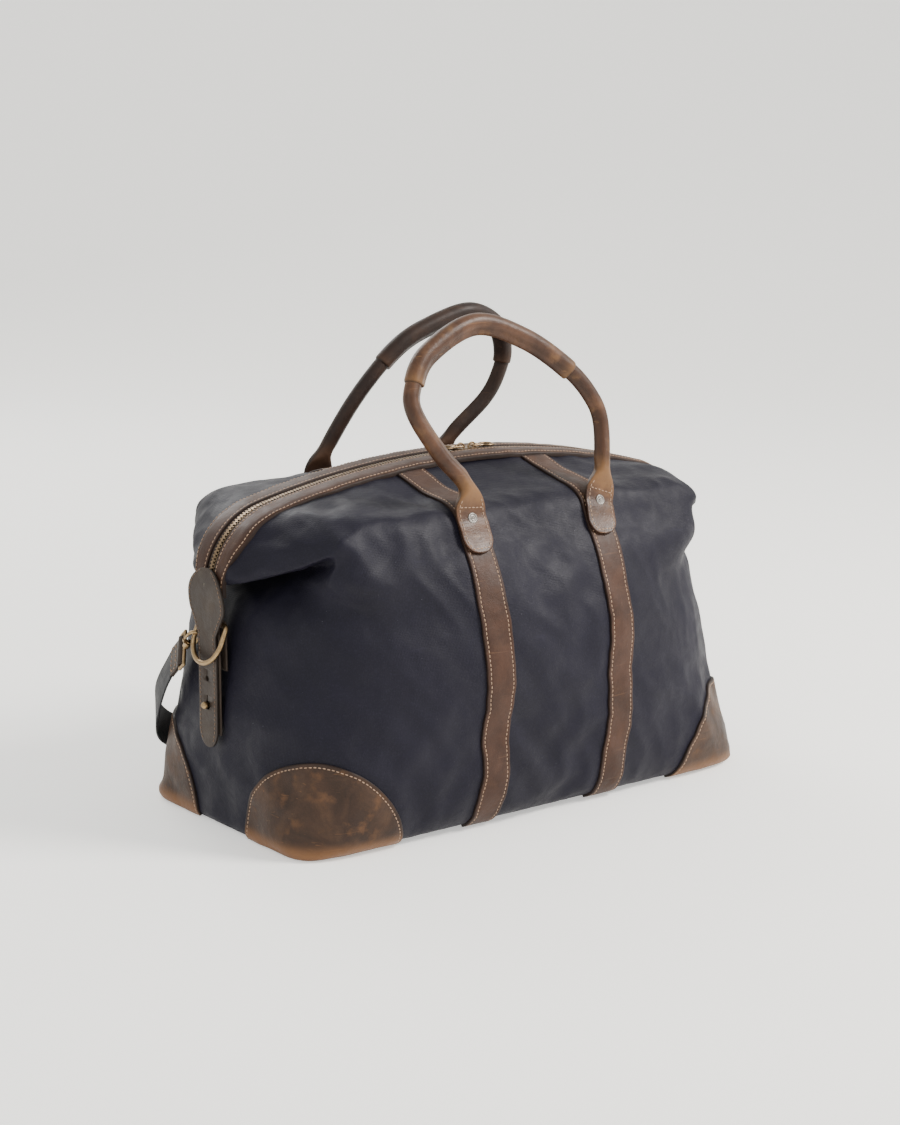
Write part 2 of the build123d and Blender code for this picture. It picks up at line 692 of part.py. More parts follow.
# ---- Handles -------------------------------------------------------------------------------------------
for name, points, side in (("front", FRONT_ROLL, -1), ("back", BACK_ROLL, 1)):
    path = handle_path(points, side)
    save(tube(path, ROLL, CORE + GAP), f"{name}_handle_roll")
    save(tube(path, CORE), f"{name}_handle_core")
    save(tube(path.trim(*GRIP), ROLL + SLEEVE_GAP + SLEEVE, ROLL + SLEEVE_GAP), f"{name}_handle_sleeve")

with BuildPart() as handle_tabs:
    with BuildSketch(tab_plane.offset(-20)):
        with Locations((0, TAB_HALF / 2)):
            Rectangle(2 * TAB_HALF, TAB_LENGTH - TAB_HALF)
        with Locations((0, TAB_HALF - TAB_LENGTH / 2)):
            Circle(TAB_HALF)
    extrude(amount=60)
    mirror(about=Plane.YZ)
    mirror(about=Plane.XZ)
    add(form_tab_out, mode=Mode.INTERSECT)
    add(form_tab_in, mode=Mode.SUBTRACT)
    add(rivet_bore.part, mode=Mode.SUBTRACT)
for tab in handle_tabs.part.solids():
    place = tab.center()
    save(tab, f"{'front' if place.Y < 0 else 'back'}_{'left' if place.X < 0 else 'right'}_handle_tab")

with BuildPart() as rivets:
    with Locations(rivet_plane.offset(-RIVET_INNER - 4)):
        Cylinder(RIVET, RIVET_SEAT + WASHER_THICK + RIVET_INNER + 4.5, align=(Align.CENTER, Align.CENTER, Align.MIN))
        Cylinder(RIVET_HEAD, 1, align=(Align.CENTER, Align.CENTER, Align.MAX))
    with Locations(rivet_plane.offset(RIVET_SEAT + WASHER_THICK + GAP)):
        Cylinder(RIVET_HEAD, 1.6, align=(Align.CENTER, Align.CENTER, Align.MIN))
    mirror(about=Plane.YZ)
    mirror(about=Plane.XZ)
save(rivets.part, "handle_rivets")
with BuildPart() as washers:
    with Locations(rivet_plane.offset(RIVET_SEAT)):
        Cylinder(WASHER, WASHER_THICK, align=(Align.CENTER, Align.CENTER, Align.MIN))
        Cylinder(RIVET_HOLE, 3, mode=Mode.SUBTRACT)
    mirror(about=Plane.YZ)
    mirror(about=Plane.XZ)
save(washers.part, "rivet_washers")

# ---- Snap hook, swivel eye and chape, hung on the back of the D-ring's arc -----------------------------
hook_turn = radians(HOOK_TURN)
grip_y = RING_HALF * sin(hook_turn)
grip_drop = RING_SIDE + RING_HALF * cos(hook_turn)
grip_point = ring_plane.from_local_coords((grip_y, grip_drop, 0))
ring_run = ring_plane.y_dir * sin(hook_turn) - ring_plane.x_dir * cos(hook_turn)
hang = Vector(0, cos(radians(HOOK_DROP)), -sin(radians(HOOK_DROP)))
hook_plane = Plane(origin=grip_point, x_dir=hang, z_dir=ring_run - hang * ring_run.dot(hang))


def along_hook(start):
    """Plane across the hook's length at a distance from the ring wire."""
    return Plane(origin=hook_plane.from_local_coords((start, 0, 0)), x_dir=hook_plane.z_dir, z_dir=hook_plane.x_dir)


with BuildPart() as clip_hook:
    with BuildLine(hook_plane) as hook_path:
        near, far = HOOK_SHIFT, HOOK_SHIFT + HOOK_SIDE
        ThreePointArc((near, HOOK_HALF), (near - HOOK_HALF, 0), (near, -HOOK_HALF))
        Line((near, -HOOK_HALF), (far, -HOOK_HALF))
        ThreePointArc((far, -HOOK_HALF), (far + HOOK_HALF, 0), (far, HOOK_HALF))
    add(tube(hook_path.wires()[0], HOOK_WIRE))
    with Locations(along_hook(far + HOOK_HALF - HOOK_WIRE)):
        Cylinder(BARREL, BARREL_END - far - HOOK_HALF + HOOK_WIRE, align=(Align.CENTER, Align.CENTER, Align.MIN))
    with Locations(along_hook(far)):
        Cylinder(STEM_BORE, 30, align=(Align.CENTER, Align.CENTER, Align.MIN), mode=Mode.SUBTRACT)
save_pair(clip_hook.part, "clip_hook")
with BuildPart() as clip_gate:
    gate_start = hook_plane.from_local_coords((near + 0.3, HOOK_HALF, 0))
    with Locations(Plane(origin=gate_start, z_dir=hook_plane.x_dir)):
        Cylinder(GATE_WIRE, HOOK_SIDE - 0.9, align=(Align.CENTER, Align.CENTER, Align.MIN))
save_pair(clip_gate.part, "clip_gate")
with BuildPart() as swivel_eye:
    with Locations(along_hook(far + HOOK_HALF - HOOK_WIRE - 0.8)):
        Cylinder(STEM_HEAD, 1.2, align=(Align.CENTER, Align.CENTER, Align.MAX))
    with Locations(along_hook(far + HOOK_HALF - HOOK_WIRE - 1)):
        Cylinder(STEM, EYE_NEAR - far - HOOK_HALF + HOOK_WIRE + 1, align=(Align.CENTER, Align.CENTER, Align.MIN))
    for start in (EYE_NEAR, EYE_FAR):
        with Locations(Plane(origin=hook_plane.from_local_coords((start, 0, -EYE_HALF)), z_dir=hook_plane.z_dir)):
            Cylinder(EYE_WIRE, 2 * EYE_HALF, align=(Align.CENTER, Align.CENTER, Align.MIN))
    for across in (-EYE_HALF, EYE_HALF):
        with Locations(Plane(origin=hook_plane.from_local_coords((EYE_NEAR, 0, across)), z_dir=hook_plane.x_dir)):
            Cylinder(EYE_WIRE, EYE_FAR - EYE_NEAR, align=(Align.CENTER, Align.CENTER, Align.MIN))
        for start in (EYE_NEAR, EYE_FAR):
            with Locations(hook_plane.from_local_coords((start, 0, across))):
                Sphere(EYE_WIRE)
save_pair(swivel_eye.part, "swivel_eye")
with BuildPart() as strap_chape:
    with BuildSketch(hook_plane.offset(-CHAPE_HALF)):
        with Locations((EYE_FAR, 0)):
            Circle(CHAPE_BORE + CHAPE_THICK)
        with Locations(((EYE_FAR + CHAPE_END) / 2, 0)):
            Rectangle(CHAPE_END - EYE_FAR, 2 * CHAPE_BORE + 2 * CHAPE_THICK)
        with Locations((EYE_FAR, 0)):
            Circle(CHAPE_BORE, mode=Mode.SUBTRACT)
        with Locations(((EYE_FAR + CHAPE_END + 1) / 2, 0)):
            Rectangle(CHAPE_END + 1 - EYE_FAR, 2 * CHAPE_BORE, mode=Mode.SUBTRACT)
    extrude(amount=2 * CHAPE_HALF)
save_pair(strap_chape.part, "strap_chape")

# ---- Shoulder strap webbing, draped round the back of the bag, and its adjuster ------------------------
def drape_wall(grow):
    """Tall prism on the plan outline that the shoulder strap follows."""
    with BuildPart() as wall:
        with BuildSketch(Plane.XY):
            with BuildLine():
                outline(DRAPE[0] + grow, DRAPE[1] + grow, DRAPE[2])
            make_face()
        extrude(amount=200)
    return wall.part


strap_start = hook_plane.from_local_coords((CHAPE_END + 1, 0, 0))
start_y, start_z = strap_start.Y, strap_start.Z
side_y = WEBBING_WIDTH / 2 * sin(radians(HOOK_DROP))
side_z = WEBBING_WIDTH / 2 * cos(radians(HOOK_DROP))
with BuildPart() as shoulder_strap:
    with BuildSketch(Plane.YZ.offset(-300)):
        with BuildLine():
            first, last = (start_y + side_y, start_z + side_z), (start_y - side_y, start_z - side_z)
            Polyline(first, *DRAPE_TOP, *DRAPE_BOTTOM, last, close=True)
        make_face()
    extrude(amount=600)
    add(drape_wall(WEBBING), mode=Mode.INTERSECT)
    add(drape_wall(0), mode=Mode.SUBTRACT)
save(shoulder_strap.part, "shoulder_strap")
with BuildPart() as strap_adjuster:
    with BuildSketch(Plane.YZ.offset(ADJUSTER_X)):
        with Locations((ADJUSTER_Y, ADJUSTER_Z)):
            RectangleRounded(ADJUSTER_SLOT[0] + 2 * ADJUSTER_WIRE, ADJUSTER_SLOT[1] + 2 * ADJUSTER_WIRE, 2)
            Rectangle(*ADJUSTER_SLOT, mode=Mode.SUBTRACT)
    extrude(amount=5)
save(strap_adjuster.part, "strap_adjuster")
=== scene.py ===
"""Looks for the canvas and leather weekend holdall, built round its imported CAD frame.

The helpers work in millimetres and meshes are made in metres, through MM. +X is the right end, -Y the
front and +Z up. The canvas is one grid: columns run round the bag from the middle of the right end, and
rows run up to the zip. Leather sewn on it is placed by column and row, so that it follows the settled cloth.
"""
import bmesh
import bpy
import math
import random
import numpy as np
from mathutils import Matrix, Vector, noise


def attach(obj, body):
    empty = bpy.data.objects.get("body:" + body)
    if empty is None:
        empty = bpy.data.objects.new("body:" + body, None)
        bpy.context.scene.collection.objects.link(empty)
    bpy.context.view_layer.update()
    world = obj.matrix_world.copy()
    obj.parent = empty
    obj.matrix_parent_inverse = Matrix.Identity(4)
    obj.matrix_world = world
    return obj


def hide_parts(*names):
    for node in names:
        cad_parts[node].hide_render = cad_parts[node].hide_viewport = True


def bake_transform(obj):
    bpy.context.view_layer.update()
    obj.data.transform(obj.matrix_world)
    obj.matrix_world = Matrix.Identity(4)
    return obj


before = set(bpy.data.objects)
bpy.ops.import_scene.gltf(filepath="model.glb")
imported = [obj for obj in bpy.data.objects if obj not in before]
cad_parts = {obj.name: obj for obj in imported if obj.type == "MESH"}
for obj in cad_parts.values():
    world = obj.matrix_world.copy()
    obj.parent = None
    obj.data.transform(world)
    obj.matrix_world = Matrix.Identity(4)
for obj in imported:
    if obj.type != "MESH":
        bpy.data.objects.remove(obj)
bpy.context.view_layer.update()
rng = random.Random(7)
MM = 0.001

# -------------------- small helpers


def unit(v):
    """Unit vectors along the last axis."""
    return v / np.maximum(np.linalg.norm(v, axis=-1, keepdims=True), 1e-12)


def smooth_step(a, b, x):
    t = np.clip((np.asarray(x, float) - a) / (b - a), 0, 1)
    return t * t * (3 - 2 * t)


def spline(points, count, closed=False):
    """Catmull-Rom curve through points, resampled at equal steps."""
    p = np.asarray(points, float)
    ext = np.vstack([p[-1], p, p[:2]]) if closed else np.vstack([2 * p[0] - p[1], p, 2 * p[-1] - p[-2]])
    out = []
    spans = len(p) if closed else len(p) - 1
    for i in range(spans):
        a, b, c, d = ext[i:i + 4]
        t = np.linspace(0, 1, 40, endpoint=False)[:, None]
        square, cube = 2 * a - 5 * b + 4 * c - d, 3 * b - a - 3 * c + d
        out.append(0.5 * (2 * b + (c - a) * t + square * t**2 + cube * t**3))
    out.append(p[:1] if closed else p[-1:])
    return resample(np.vstack(out), count)


def resample(line, count):
    """The same line with points at equal distances."""
    line = np.asarray(line, float)
    run = np.concatenate([[0], np.cumsum(np.linalg.norm(np.diff(line, axis=0), axis=1))])
    at = np.linspace(0, run[-1], count)
    return np.stack([np.interp(at, run, line[:, k]) for k in range(line.shape[1])], 1)


def mesh_object(name, verts, faces, material, shade=True):
    data = bpy.data.meshes.new(name)
    points = [tuple(v) for v in np.asarray(verts, float)]
    data.from_pydata(points, [], [tuple(int(i) for i in f) for f in faces])
    data.validate()
    data.update()
    obj = bpy.data.objects.new(name, data)
    bpy.context.scene.collection.objects.link(obj)
    if shade:
        data.polygons.foreach_set("use_smooth", [True] * len(data.polygons))
    data.materials.append(material)
    return obj


def grid_faces(rows, cols, wrap=False, start=0, flip=False):
    """Quads of a grid whose points run along cols first."""
    faces = []
    for r in range(rows - 1):
        for c in range(cols if wrap else cols - 1):
            n = (c + 1) % cols
            low, high = start + r * cols, start + (r + 1) * cols
            f = (low + c, low + n, high + n, high + c)
            faces.append(f[::-1] if flip else f)
    return faces


def attribute(obj, name, values):
    a = obj.data.attributes.new(name, "FLOAT", "POINT")
    a.data.foreach_set("value", np.asarray(values, np.float32))


# -------------------- materials


class Nodes:
    """Short way to build one node material."""

    def __init__(self, name, tone=0.62):
        self.tone = tone
        self.material = bpy.data.materials.new(name)
        self.material.use_nodes = True
        self.tree = self.material.node_tree
        self.shader = self.tree.nodes["Principled BSDF"]
        self.coords = self.add("ShaderNodeTexCoord").outputs["Object"]

    def add(self, kind, **inputs):
        node = self.tree.nodes.new(kind)
        for key, value in inputs.items():
            self.set(node, key.replace("_", " "), value)
        return node

    def set(self, node, key, value):
        socket = node.inputs[key]
        if isinstance(value, bpy.types.NodeSocket):
            self.tree.links.new(value, socket)
        else:
            socket.default_value = value

    def noise(self, scale, detail=4, rough=0.55, stretch=None, distortion=0.0):
        vector = self.coords
        if stretch:
            mapping = self.add("ShaderNodeMapping", Vector=self.coords, Scale=stretch)
            vector = mapping.outputs["Vector"]
        node = self.add("ShaderNodeTexNoise", Vector=vector, Scale=scale, Detail=detail, Roughness=rough,
                        Distortion=distortion)
        return node.outputs["Fac"]

    def ramp(self, value, low, high, a=0.0, b=1.0):
        node = self.add("ShaderNodeMapRange", Value=value)
        node.interpolation_type = "SMOOTHSTEP"
        for key, v in zip(("From Min", "From Max", "To Min", "To Max"), (low, high, a, b)):
            node.inputs[key].default_value = v
        return node.outputs["Result"]

    def mix(self, factor, a, b, blend="MIX"):
        node = self.tree.nodes.new("ShaderNodeMix")
        node.data_type = "RGBA"
        node.blend_type = blend
        for index, value in ((0, factor), (6, a), (7, b)):
            socket = node.inputs[index]
            if isinstance(value, bpy.types.NodeSocket):
                self.tree.links.new(value, socket)
            elif index == 0:
                socket.default_value = value
            else:
                socket.default_value = (*(c * self.tone for c in value[:3]), 1)
        return node.outputs[2]

    def math(self, operation, a, b=0.5, clamp=False):
        node = self.tree.nodes.new("ShaderNodeMath")
        node.operation = operation
        node.use_clamp = clamp
        for index, value in ((0, a), (1, b)):
            if isinstance(value, bpy.types.NodeSocket):
                self.tree.links.new(value, node.inputs[index])
            else:
                node.inputs[index].default_value = value
        return node.outputs[0]

    def attribute(self, name):
        node = self.tree.nodes.new("ShaderNodeAttribute")
        node.attribute_name = name
        return node.outputs["Fac"]

    def bump(self, height, strength, distance, normal=None):
        node = self.add("ShaderNodeBump", Height=height, Strength=strength, Distance=distance)
        if normal:
            self.tree.links.new(normal, node.inputs["Normal"])
        return node.outputs["Normal"]

    def finish(self, **inputs):
        for key, value in inputs.items():
            self.set(self.shader, key.replace("_", " "), value)
        return self.material


def waxed_canvas(name, base, pale, weave=1500.0):
    """Tight cotton weave with a dull wax sheen, rubbed pale patches and lint."""
    n = Nodes(name)
    cloud = n.noise(9, 5, 0.6)
    rub = n.noise(38, 6, 0.65, distortion=0.4)
    grain = n.noise(700, 2, 0.5)
    lint = n.noise(420, 2, 0.8)
    streak = n.noise(55, 4, 0.6, stretch=(0.25, 0.25, 1.6), distortion=1.5)
    colour = n.mix(n.ramp(cloud, 0.35, 0.7), base, tuple(c * 1.25 for c in base))
    colour = n.mix(n.ramp(rub, 0.5, 0.85, 0, 0.5), colour, pale)
    colour = n.mix(n.ramp(streak, 0.64, 0.74, 0, 0.28), colour, tuple(c * 1.5 for c in pale))
    colour = n.mix(n.ramp(grain, 0.45, 0.75, 0, 0.38), colour, tuple(c * 1.3 for c in pale))
    colour = n.mix(n.ramp(lint, 0.74, 0.8, 0, 0.55), colour, (0.22, 0.22, 0.26))
    waves = []
    for axis in ("X", "Z"):
        wave = n.add("ShaderNodeTexWave", Vector=n.coords, Scale=weave / 6.283, Distortion=1.2, Detail=1.0)
        wave.bands_direction = axis
        waves.append(wave.outputs["Fac"])
    cloth = n.math("MULTIPLY", waves[0], waves[1])
    normal = n.bump(cloth, 0.25, 0.0004)
    normal = n.bump(grain, 0.3, 0.0005, normal)
    normal = n.bump(rub, 0.35, 0.0022, normal)
    rough = n.ramp(rub, 0.3, 0.75, 0.5, 0.68)
    return n.finish(Base_Color=colour, Roughness=rough, Normal=normal, Specular_IOR_Level=0.17)


def oiled_leather(name, base, pull, dark, glow=0.35, rough=0.52):
    """Oiled leather: darker clouds, lighter stretched areas, pores, fine scratches and dark cut edges."""
    n = Nodes(name)
    cloud = n.noise(26, 6, 0.6, distortion=0.6)
    patch = n.noise(60, 5, 0.62)
    pores = n.add("ShaderNodeTexVoronoi", Vector=n.coords, Scale=900.0).outputs["Distance"]
    scratch = n.noise(90, 3, 0.5, stretch=(0.15, 1.0, 4.0), distortion=0.8)
    fine = n.noise(240, 4, 0.6)
    colour = n.mix(n.ramp(cloud, 0.35, 0.7), dark, base)
    colour = n.mix(n.ramp(patch, 0.52, 0.78, 0, glow), colour, pull)
    colour = n.mix(n.ramp(scratch, 0.66, 0.72, 0, 0.4), colour, pull)
    colour = n.mix(n.ramp(fine, 0.4, 0.7, 0, 0.25), colour, dark)
    colour = n.mix(n.ramp(n.attribute("pull"), 0.05, 0.95, 0, 0.85), colour, pull)
    colour = n.mix(n.attribute("edge"), colour, tuple(c * 0.45 for c in dark))
    normal = n.bump(pores, 0.3, 0.0003)
    normal = n.bump(fine, 0.35, 0.0006, normal)
    normal = n.bump(patch, 0.3, 0.0012, normal)
    dull = n.ramp(patch, 0.3, 0.8, rough - 0.06, rough + 0.12)
    return n.finish(Base_Color=colour, Roughness=dull, Normal=normal, Specular_IOR_Level=0.2)


def metal(name, base, dark, rough, wear=0.5):
    n = Nodes(name)
    cloud = n.noise(320, 5, 0.65)
    fine = n.noise(1500, 3, 0.6)
    colour = n.mix(n.ramp(cloud, 0.4, 0.72, 0, wear), base, dark)
    normal = n.bump(fine, 0.12, 0.0003)
    dull = n.ramp(cloud, 0.3, 0.75, rough, rough + 0.22)
    return n.finish(Base_Color=colour, Metallic=1.0, Roughness=dull, Normal=normal)


def thread(name, base):
    n = Nodes(name)
    twist = n.noise(2600, 2, 0.5)
    colour = n.mix(twist, tuple(c * 0.6 for c in base), base)
    return n.finish(Base_Color=colour, Roughness=0.7, Normal=n.bump(twist, 0.4, 0.0003))


def plain(name, base, rough=0.8, tone=0.62):
    n = Nodes(name, tone)
    fine = n.noise(600, 3, 0.6)
    return n.finish(Base_Color=n.mix(fine, tuple(c * 0.8 for c in base), base), Roughness=rough,
                    Normal=n.bump(fine, 0.3, 0.0004))


CANVAS = waxed_canvas("navy_waxed_canvas", (0.0100, 0.0090, 0.0178), (0.018, 0.0165, 0.031))
WEBBING = waxed_canvas("dark_webbing", (0.008, 0.009, 0.013), (0.02, 0.021, 0.03), 900)
TAPE = plain("zip_tape", (0.045, 0.028, 0.022))
LEATHER = oiled_leather(
    "brown_leather", (0.088, 0.040, 0.024), (0.19, 0.095, 0.05), (0.050, 0.023, 0.014), 0.3
)
END = oiled_leather(
    "end_leather", (0.072, 0.052, 0.039), (0.115, 0.075, 0.045), (0.047, 0.034, 0.027), 0.25
)
CORNER = oiled_leather(
    "corner_leather", (0.098, 0.052, 0.030), (0.29, 0.135, 0.055), (0.042, 0.024, 0.017), 0.5
)
HANDLE = oiled_leather(
    "handle_leather", (0.150, 0.072, 0.040), (0.36, 0.185, 0.075), (0.060, 0.029, 0.018), 0.5, 0.40
)
# The back handle's leather is the front handle's leather painted about three times darker: painted shade, not
# a different leather.
SHADED_BACK_HANDLE = oiled_leather(
    "back_handle_leather", (0.050, 0.027, 0.018), (0.11, 0.055, 0.03), (0.025, 0.014, 0.011), 0.35
)
BRASS = metal("brass", (0.55, 0.38, 0.20), (0.20, 0.12, 0.06), 0.26)
ANTIQUE = metal("antique_brass", (0.42, 0.29, 0.17), (0.10, 0.06, 0.035), 0.30)
NICKEL = metal("rivet_metal", (0.30, 0.28, 0.26), (0.06, 0.05, 0.04), 0.36)
THREAD = thread("thread_tan", (0.62, 0.40, 0.26))
DARK_THREAD = thread("thread_dark", (0.26, 0.16, 0.10))

# -------------------- body surface

ARC, BEND, TOP, REACH = 855.0, 72.0, 317.2, 212.0
TURN = math.asin(REACH / ARC)
BEND_X = (ARC - BEND) * math.sin(TURN)
BEND_Z = TOP - ARC + (ARC - BEND) * math.cos(TURN)
# Columns from the end's middle to the corner, the strap's two edges and the middle of the long side
COLS = (24, 30, 6, 11)
QUARTER = sum(COLS)
RING = 4 * QUARTER
# Height, half length, half depth and squareness of the ovals that shape the sides
LEVELS = [
    (2.4, 256.5, 128.5, 14), (8, 258.5, 138, 11), (20, 260.5, 147, 7), (48, 262, 156, 4.6),
    (80, 262.5, 161, 3.5), (124, 261, 165, 2.85), (166, 256, 166, 2.6), (206, 244, 157, 2.7),
]


def ridge(x, lift=0.0):
    """Height of the ridge above the floor at x, for the canvas surface lifted outward."""
    x = np.abs(np.asarray(x, float))
    long = TOP - ARC + np.sqrt(np.maximum((ARC + lift) ** 2 - x**2, 0))
    bend = BEND_Z + np.sqrt(np.maximum((BEND + lift) ** 2 - (x - BEND_X) ** 2, 0))
    return np.where(x <= REACH * (1 + lift / ARC), long, bend)


def along_ridge(run, lift=0.0):
    """Point (x, z) at a distance along the ridge from the top; the sign of run picks the side."""
    side, run = np.sign(run), np.abs(np.asarray(run, float))
    turn = np.minimum(run / ARC, TURN)
    rest = np.maximum(run - ARC * TURN, 0)
    angle = TURN + np.minimum(rest / BEND, math.radians(88) - TURN)
    down = np.maximum(rest - BEND * (math.radians(88) - TURN), 0)
    over = run > ARC * TURN
    x = np.where(over, BEND_X + (BEND + lift) * np.sin(angle), (ARC + lift) * np.sin(turn))
    bend_z = BEND_Z + (BEND + lift) * np.cos(angle) - down
    z = np.where(over, bend_z, TOP - ARC + (ARC + lift) * np.cos(turn))
    return x * np.where(side == 0, 1, side), z


def quarter_ring(curve):
    """Columns of one quarter, placed on a dense curve (x, y, z) from the end's middle to x = 0."""
    run = np.concatenate([[0], np.cumsum(np.linalg.norm(np.diff(curve[:, :3], axis=0), axis=1))])
    corner = run[int(curve[0, 3])]
    stops = [0, corner, np.interp(-87, -curve[:, 0], run), np.interp(-57, -curve[:, 0], run), run[-1]]
    at = [0.0]
    for a, b, n in zip(stops, stops[1:], COLS):
        at += list(np.linspace(a, b, n + 1)[1:])
    return np.stack([np.interp(at, run, curve[:, k]) for k in range(3)], 1)


def level_curve(z, a, b, power):
    t = np.linspace(0, math.pi / 2, 721)
    x, y = a * np.cos(t) ** (2 / power), b * np.sin(t) ** (2 / power)
    curve = np.stack([x, y, np.full_like(x, z), np.zeros_like(x)], 1)
    curve[0, 3] = 360
    return curve


def joined_curve(end_part, side_part):
    """One quarter's curve from the end's middle to the ear, then along the side to x = 0."""
    a, b = spline(end_part, 240), spline(side_part, 480)
    curve = np.hstack([np.vstack([a, b[1:]]), np.zeros((719, 1))])
    curve[0, 3] = 239
    return curve


def key_rings():
    """Quarter rings from the base up the sides, into the tucked end, out over the wing and up to the zip."""
    rings = [quarter_ring(level_curve(*row)) for row in LEVELS]
    rings.append(quarter_ring(joined_curve(
        [(214, 0, 228), (213, 40, 230), (211, 75, 233), (212, 104, 236)],
        [(212, 104, 236), (198, 124, 239), (160, 136, 241), (80, 141.5, 241), (0, 142.5, 241)])))
    rings.append(quarter_ring(joined_curve(
        [(191, 0, 240), (194, 35, 243), (201, 75, 249), (209, 109, 256)],
        [(209, 109, 256), (196, 121, 262), (160, 126, 263), (80, 129, 263), (0, 129.5, 263)])))
    rings.append(quarter_ring(joined_curve(
        [(262, 0, 225), (258, 34, 232), (237, 72, 244), (213, 110, 262)],
        [(213, 110, 262), (203, 117, 274), (160, 117, 282), (80, 118.5, 284), (0, 118.5, 284)])))
    rings.append(quarter_ring(joined_curve(
        [(266, 0, 227), (264, 31, 236), (243, 66, 252), (214, 104, 271)],
        [(214, 104, 271), (200, 108, 283), (160, 106.5, 289), (80, 107, 291.5), (0, 107, 292)])))
    rings.append(quarter_ring(joined_curve(
        [(266.1, 0, 229), (263, 27, 245), (240, 50, 268), (212, 72, 286)],
        [(212, 72, 286), (196, 74, 292), (160, 73, 295.5), (80, 72, 299), (0, 72, 300)])))
    top = quarter_ring(joined_curve(
        [(266.1, 0, 230), (262.5, 12, 243), (240, 20, 274), (213, 22, 289)],
        [(213, 22, 289), (190, 22, 295), (160, 22, 301.5), (80, 22, 312.5), (0, 22, 316.5)]))
    share = np.clip(np.arange(QUARTER + 1) / 24, 0, 1)
    top[:, 2] = ridge(top[:, 0]) - 0.4
    top[:, 1] = 22 * smooth_step(0, 0.45, share)
    rings.append(top)
    return rings


def whole_ring(q):
    """Mirrors a quarter into the full ring, counter-clockwise from the right end's middle."""
    a = q
    b = q[::-1] * (-1, 1, 1)
    c = q * (-1, -1, 1)
    d = q[::-1] * (1, -1, 1)
    return np.vstack([a[:-1], b[:-1], c[:-1], d[:-1]])


def rest_body():
    """Rows of the body grid before the cloth settles, and the row number of each key ring."""
    keys = np.array([whole_ring(q) for q in key_rings()])
    counts = [2, 3, 5, 6, 8, 8, 8, 7, 5, 5, 4, 5, 8]
    rows, marks = [keys[0]], [0]
    ext = np.concatenate([2 * keys[:1] - keys[1:2], keys, 2 * keys[-1:] - keys[-2:-1]])
    for i, n in enumerate(counts):
        a, b, c, d = ext[i:i + 4]
        # chord-length spacing keeps the folded rows from overshooting
        steps = ((a, b), (b, c), (c, d))
        ab, bc, cd = (np.sqrt(np.linalg.norm(q - p, axis=1, keepdims=True)) + 1e-6 for p, q in steps)
        t0, t1 = 0, ab
        t2 = t1 + bc
        t3 = t2 + cd
        for k in range(1, n + 1):
            t = t1 + (t2 - t1) * k / n
            a1 = (t1 - t) / (t1 - t0) * a + (t - t0) / (t1 - t0) * b
            a2 = (t2 - t) / (t2 - t1) * b + (t - t1) / (t2 - t1) * c
            a3 = (t3 - t) / (t3 - t2) * c + (t - t2) / (t3 - t2) * d
            b1 = (t2 - t) / (t2 - t0) * a1 + (t - t0) / (t2 - t0) * a2
            b2 = (t3 - t) / (t3 - t1) * a2 + (t - t1) / (t3 - t1) * a3
            rows.append((t2 - t) / (t2 - t1) * b1 + (t - t1) / (t2 - t1) * b2)
        marks.append(marks[-1] + n)
    return np.array(rows), marks


def calm(rows, cols, marks):
    """1 under the handle tabs, where rivets hold the canvas flat, and 0 elsewhere."""
    c = np.arange(cols) % (2 * QUARTER)
    c = np.minimum(c, 2 * QUARTER - c)
    r = np.arange(rows)
    over = smooth_step(50, 54, c) * smooth_step(64, 60, c)
    up = smooth_step(marks[7] - 1, marks[8] + 1, r) * smooth_step(marks[12] + 2, marks[11], r)
    return up[:, None] * over[None]


def rumple(grid, marks):
    """Soft folds pressed into the rest shape, so that the cloth has somewhere to buckle."""
    rows, cols = grid.shape[:2]
    du = np.roll(grid, -1, 1) - np.roll(grid, 1, 1)
    dv = np.gradient(grid, axis=0)
    normal = unit(np.cross(du, dv))
    out = grid.copy()
    still = calm(rows, cols, marks)
    for r in range(rows):
        fade = float(smooth_step(0, 5, r) * (1 - smooth_step(marks[-2] - 1, rows - 2, r)))
        for c in range(cols):
            x, y, z = grid[r, c]
            p = Vector((x / 95, y / 95, z / 60))
            broad = noise.noise(p + Vector((3.1, 7.7, 1.3)))
            q = Vector(((x + 0.7 * z) / 34, y / 34, (z - 0.5 * abs(x)) / 62))
            fold = 0.5 - abs(noise.noise(q + Vector((9.2, 2.2, 4.4))))
            depth = 3.4 * broad + 2.6 * (fold - 0.3)
            out[r, c] = grid[r, c] + normal[r, c] * fade * (1 - still[r, c]) * depth
    return out


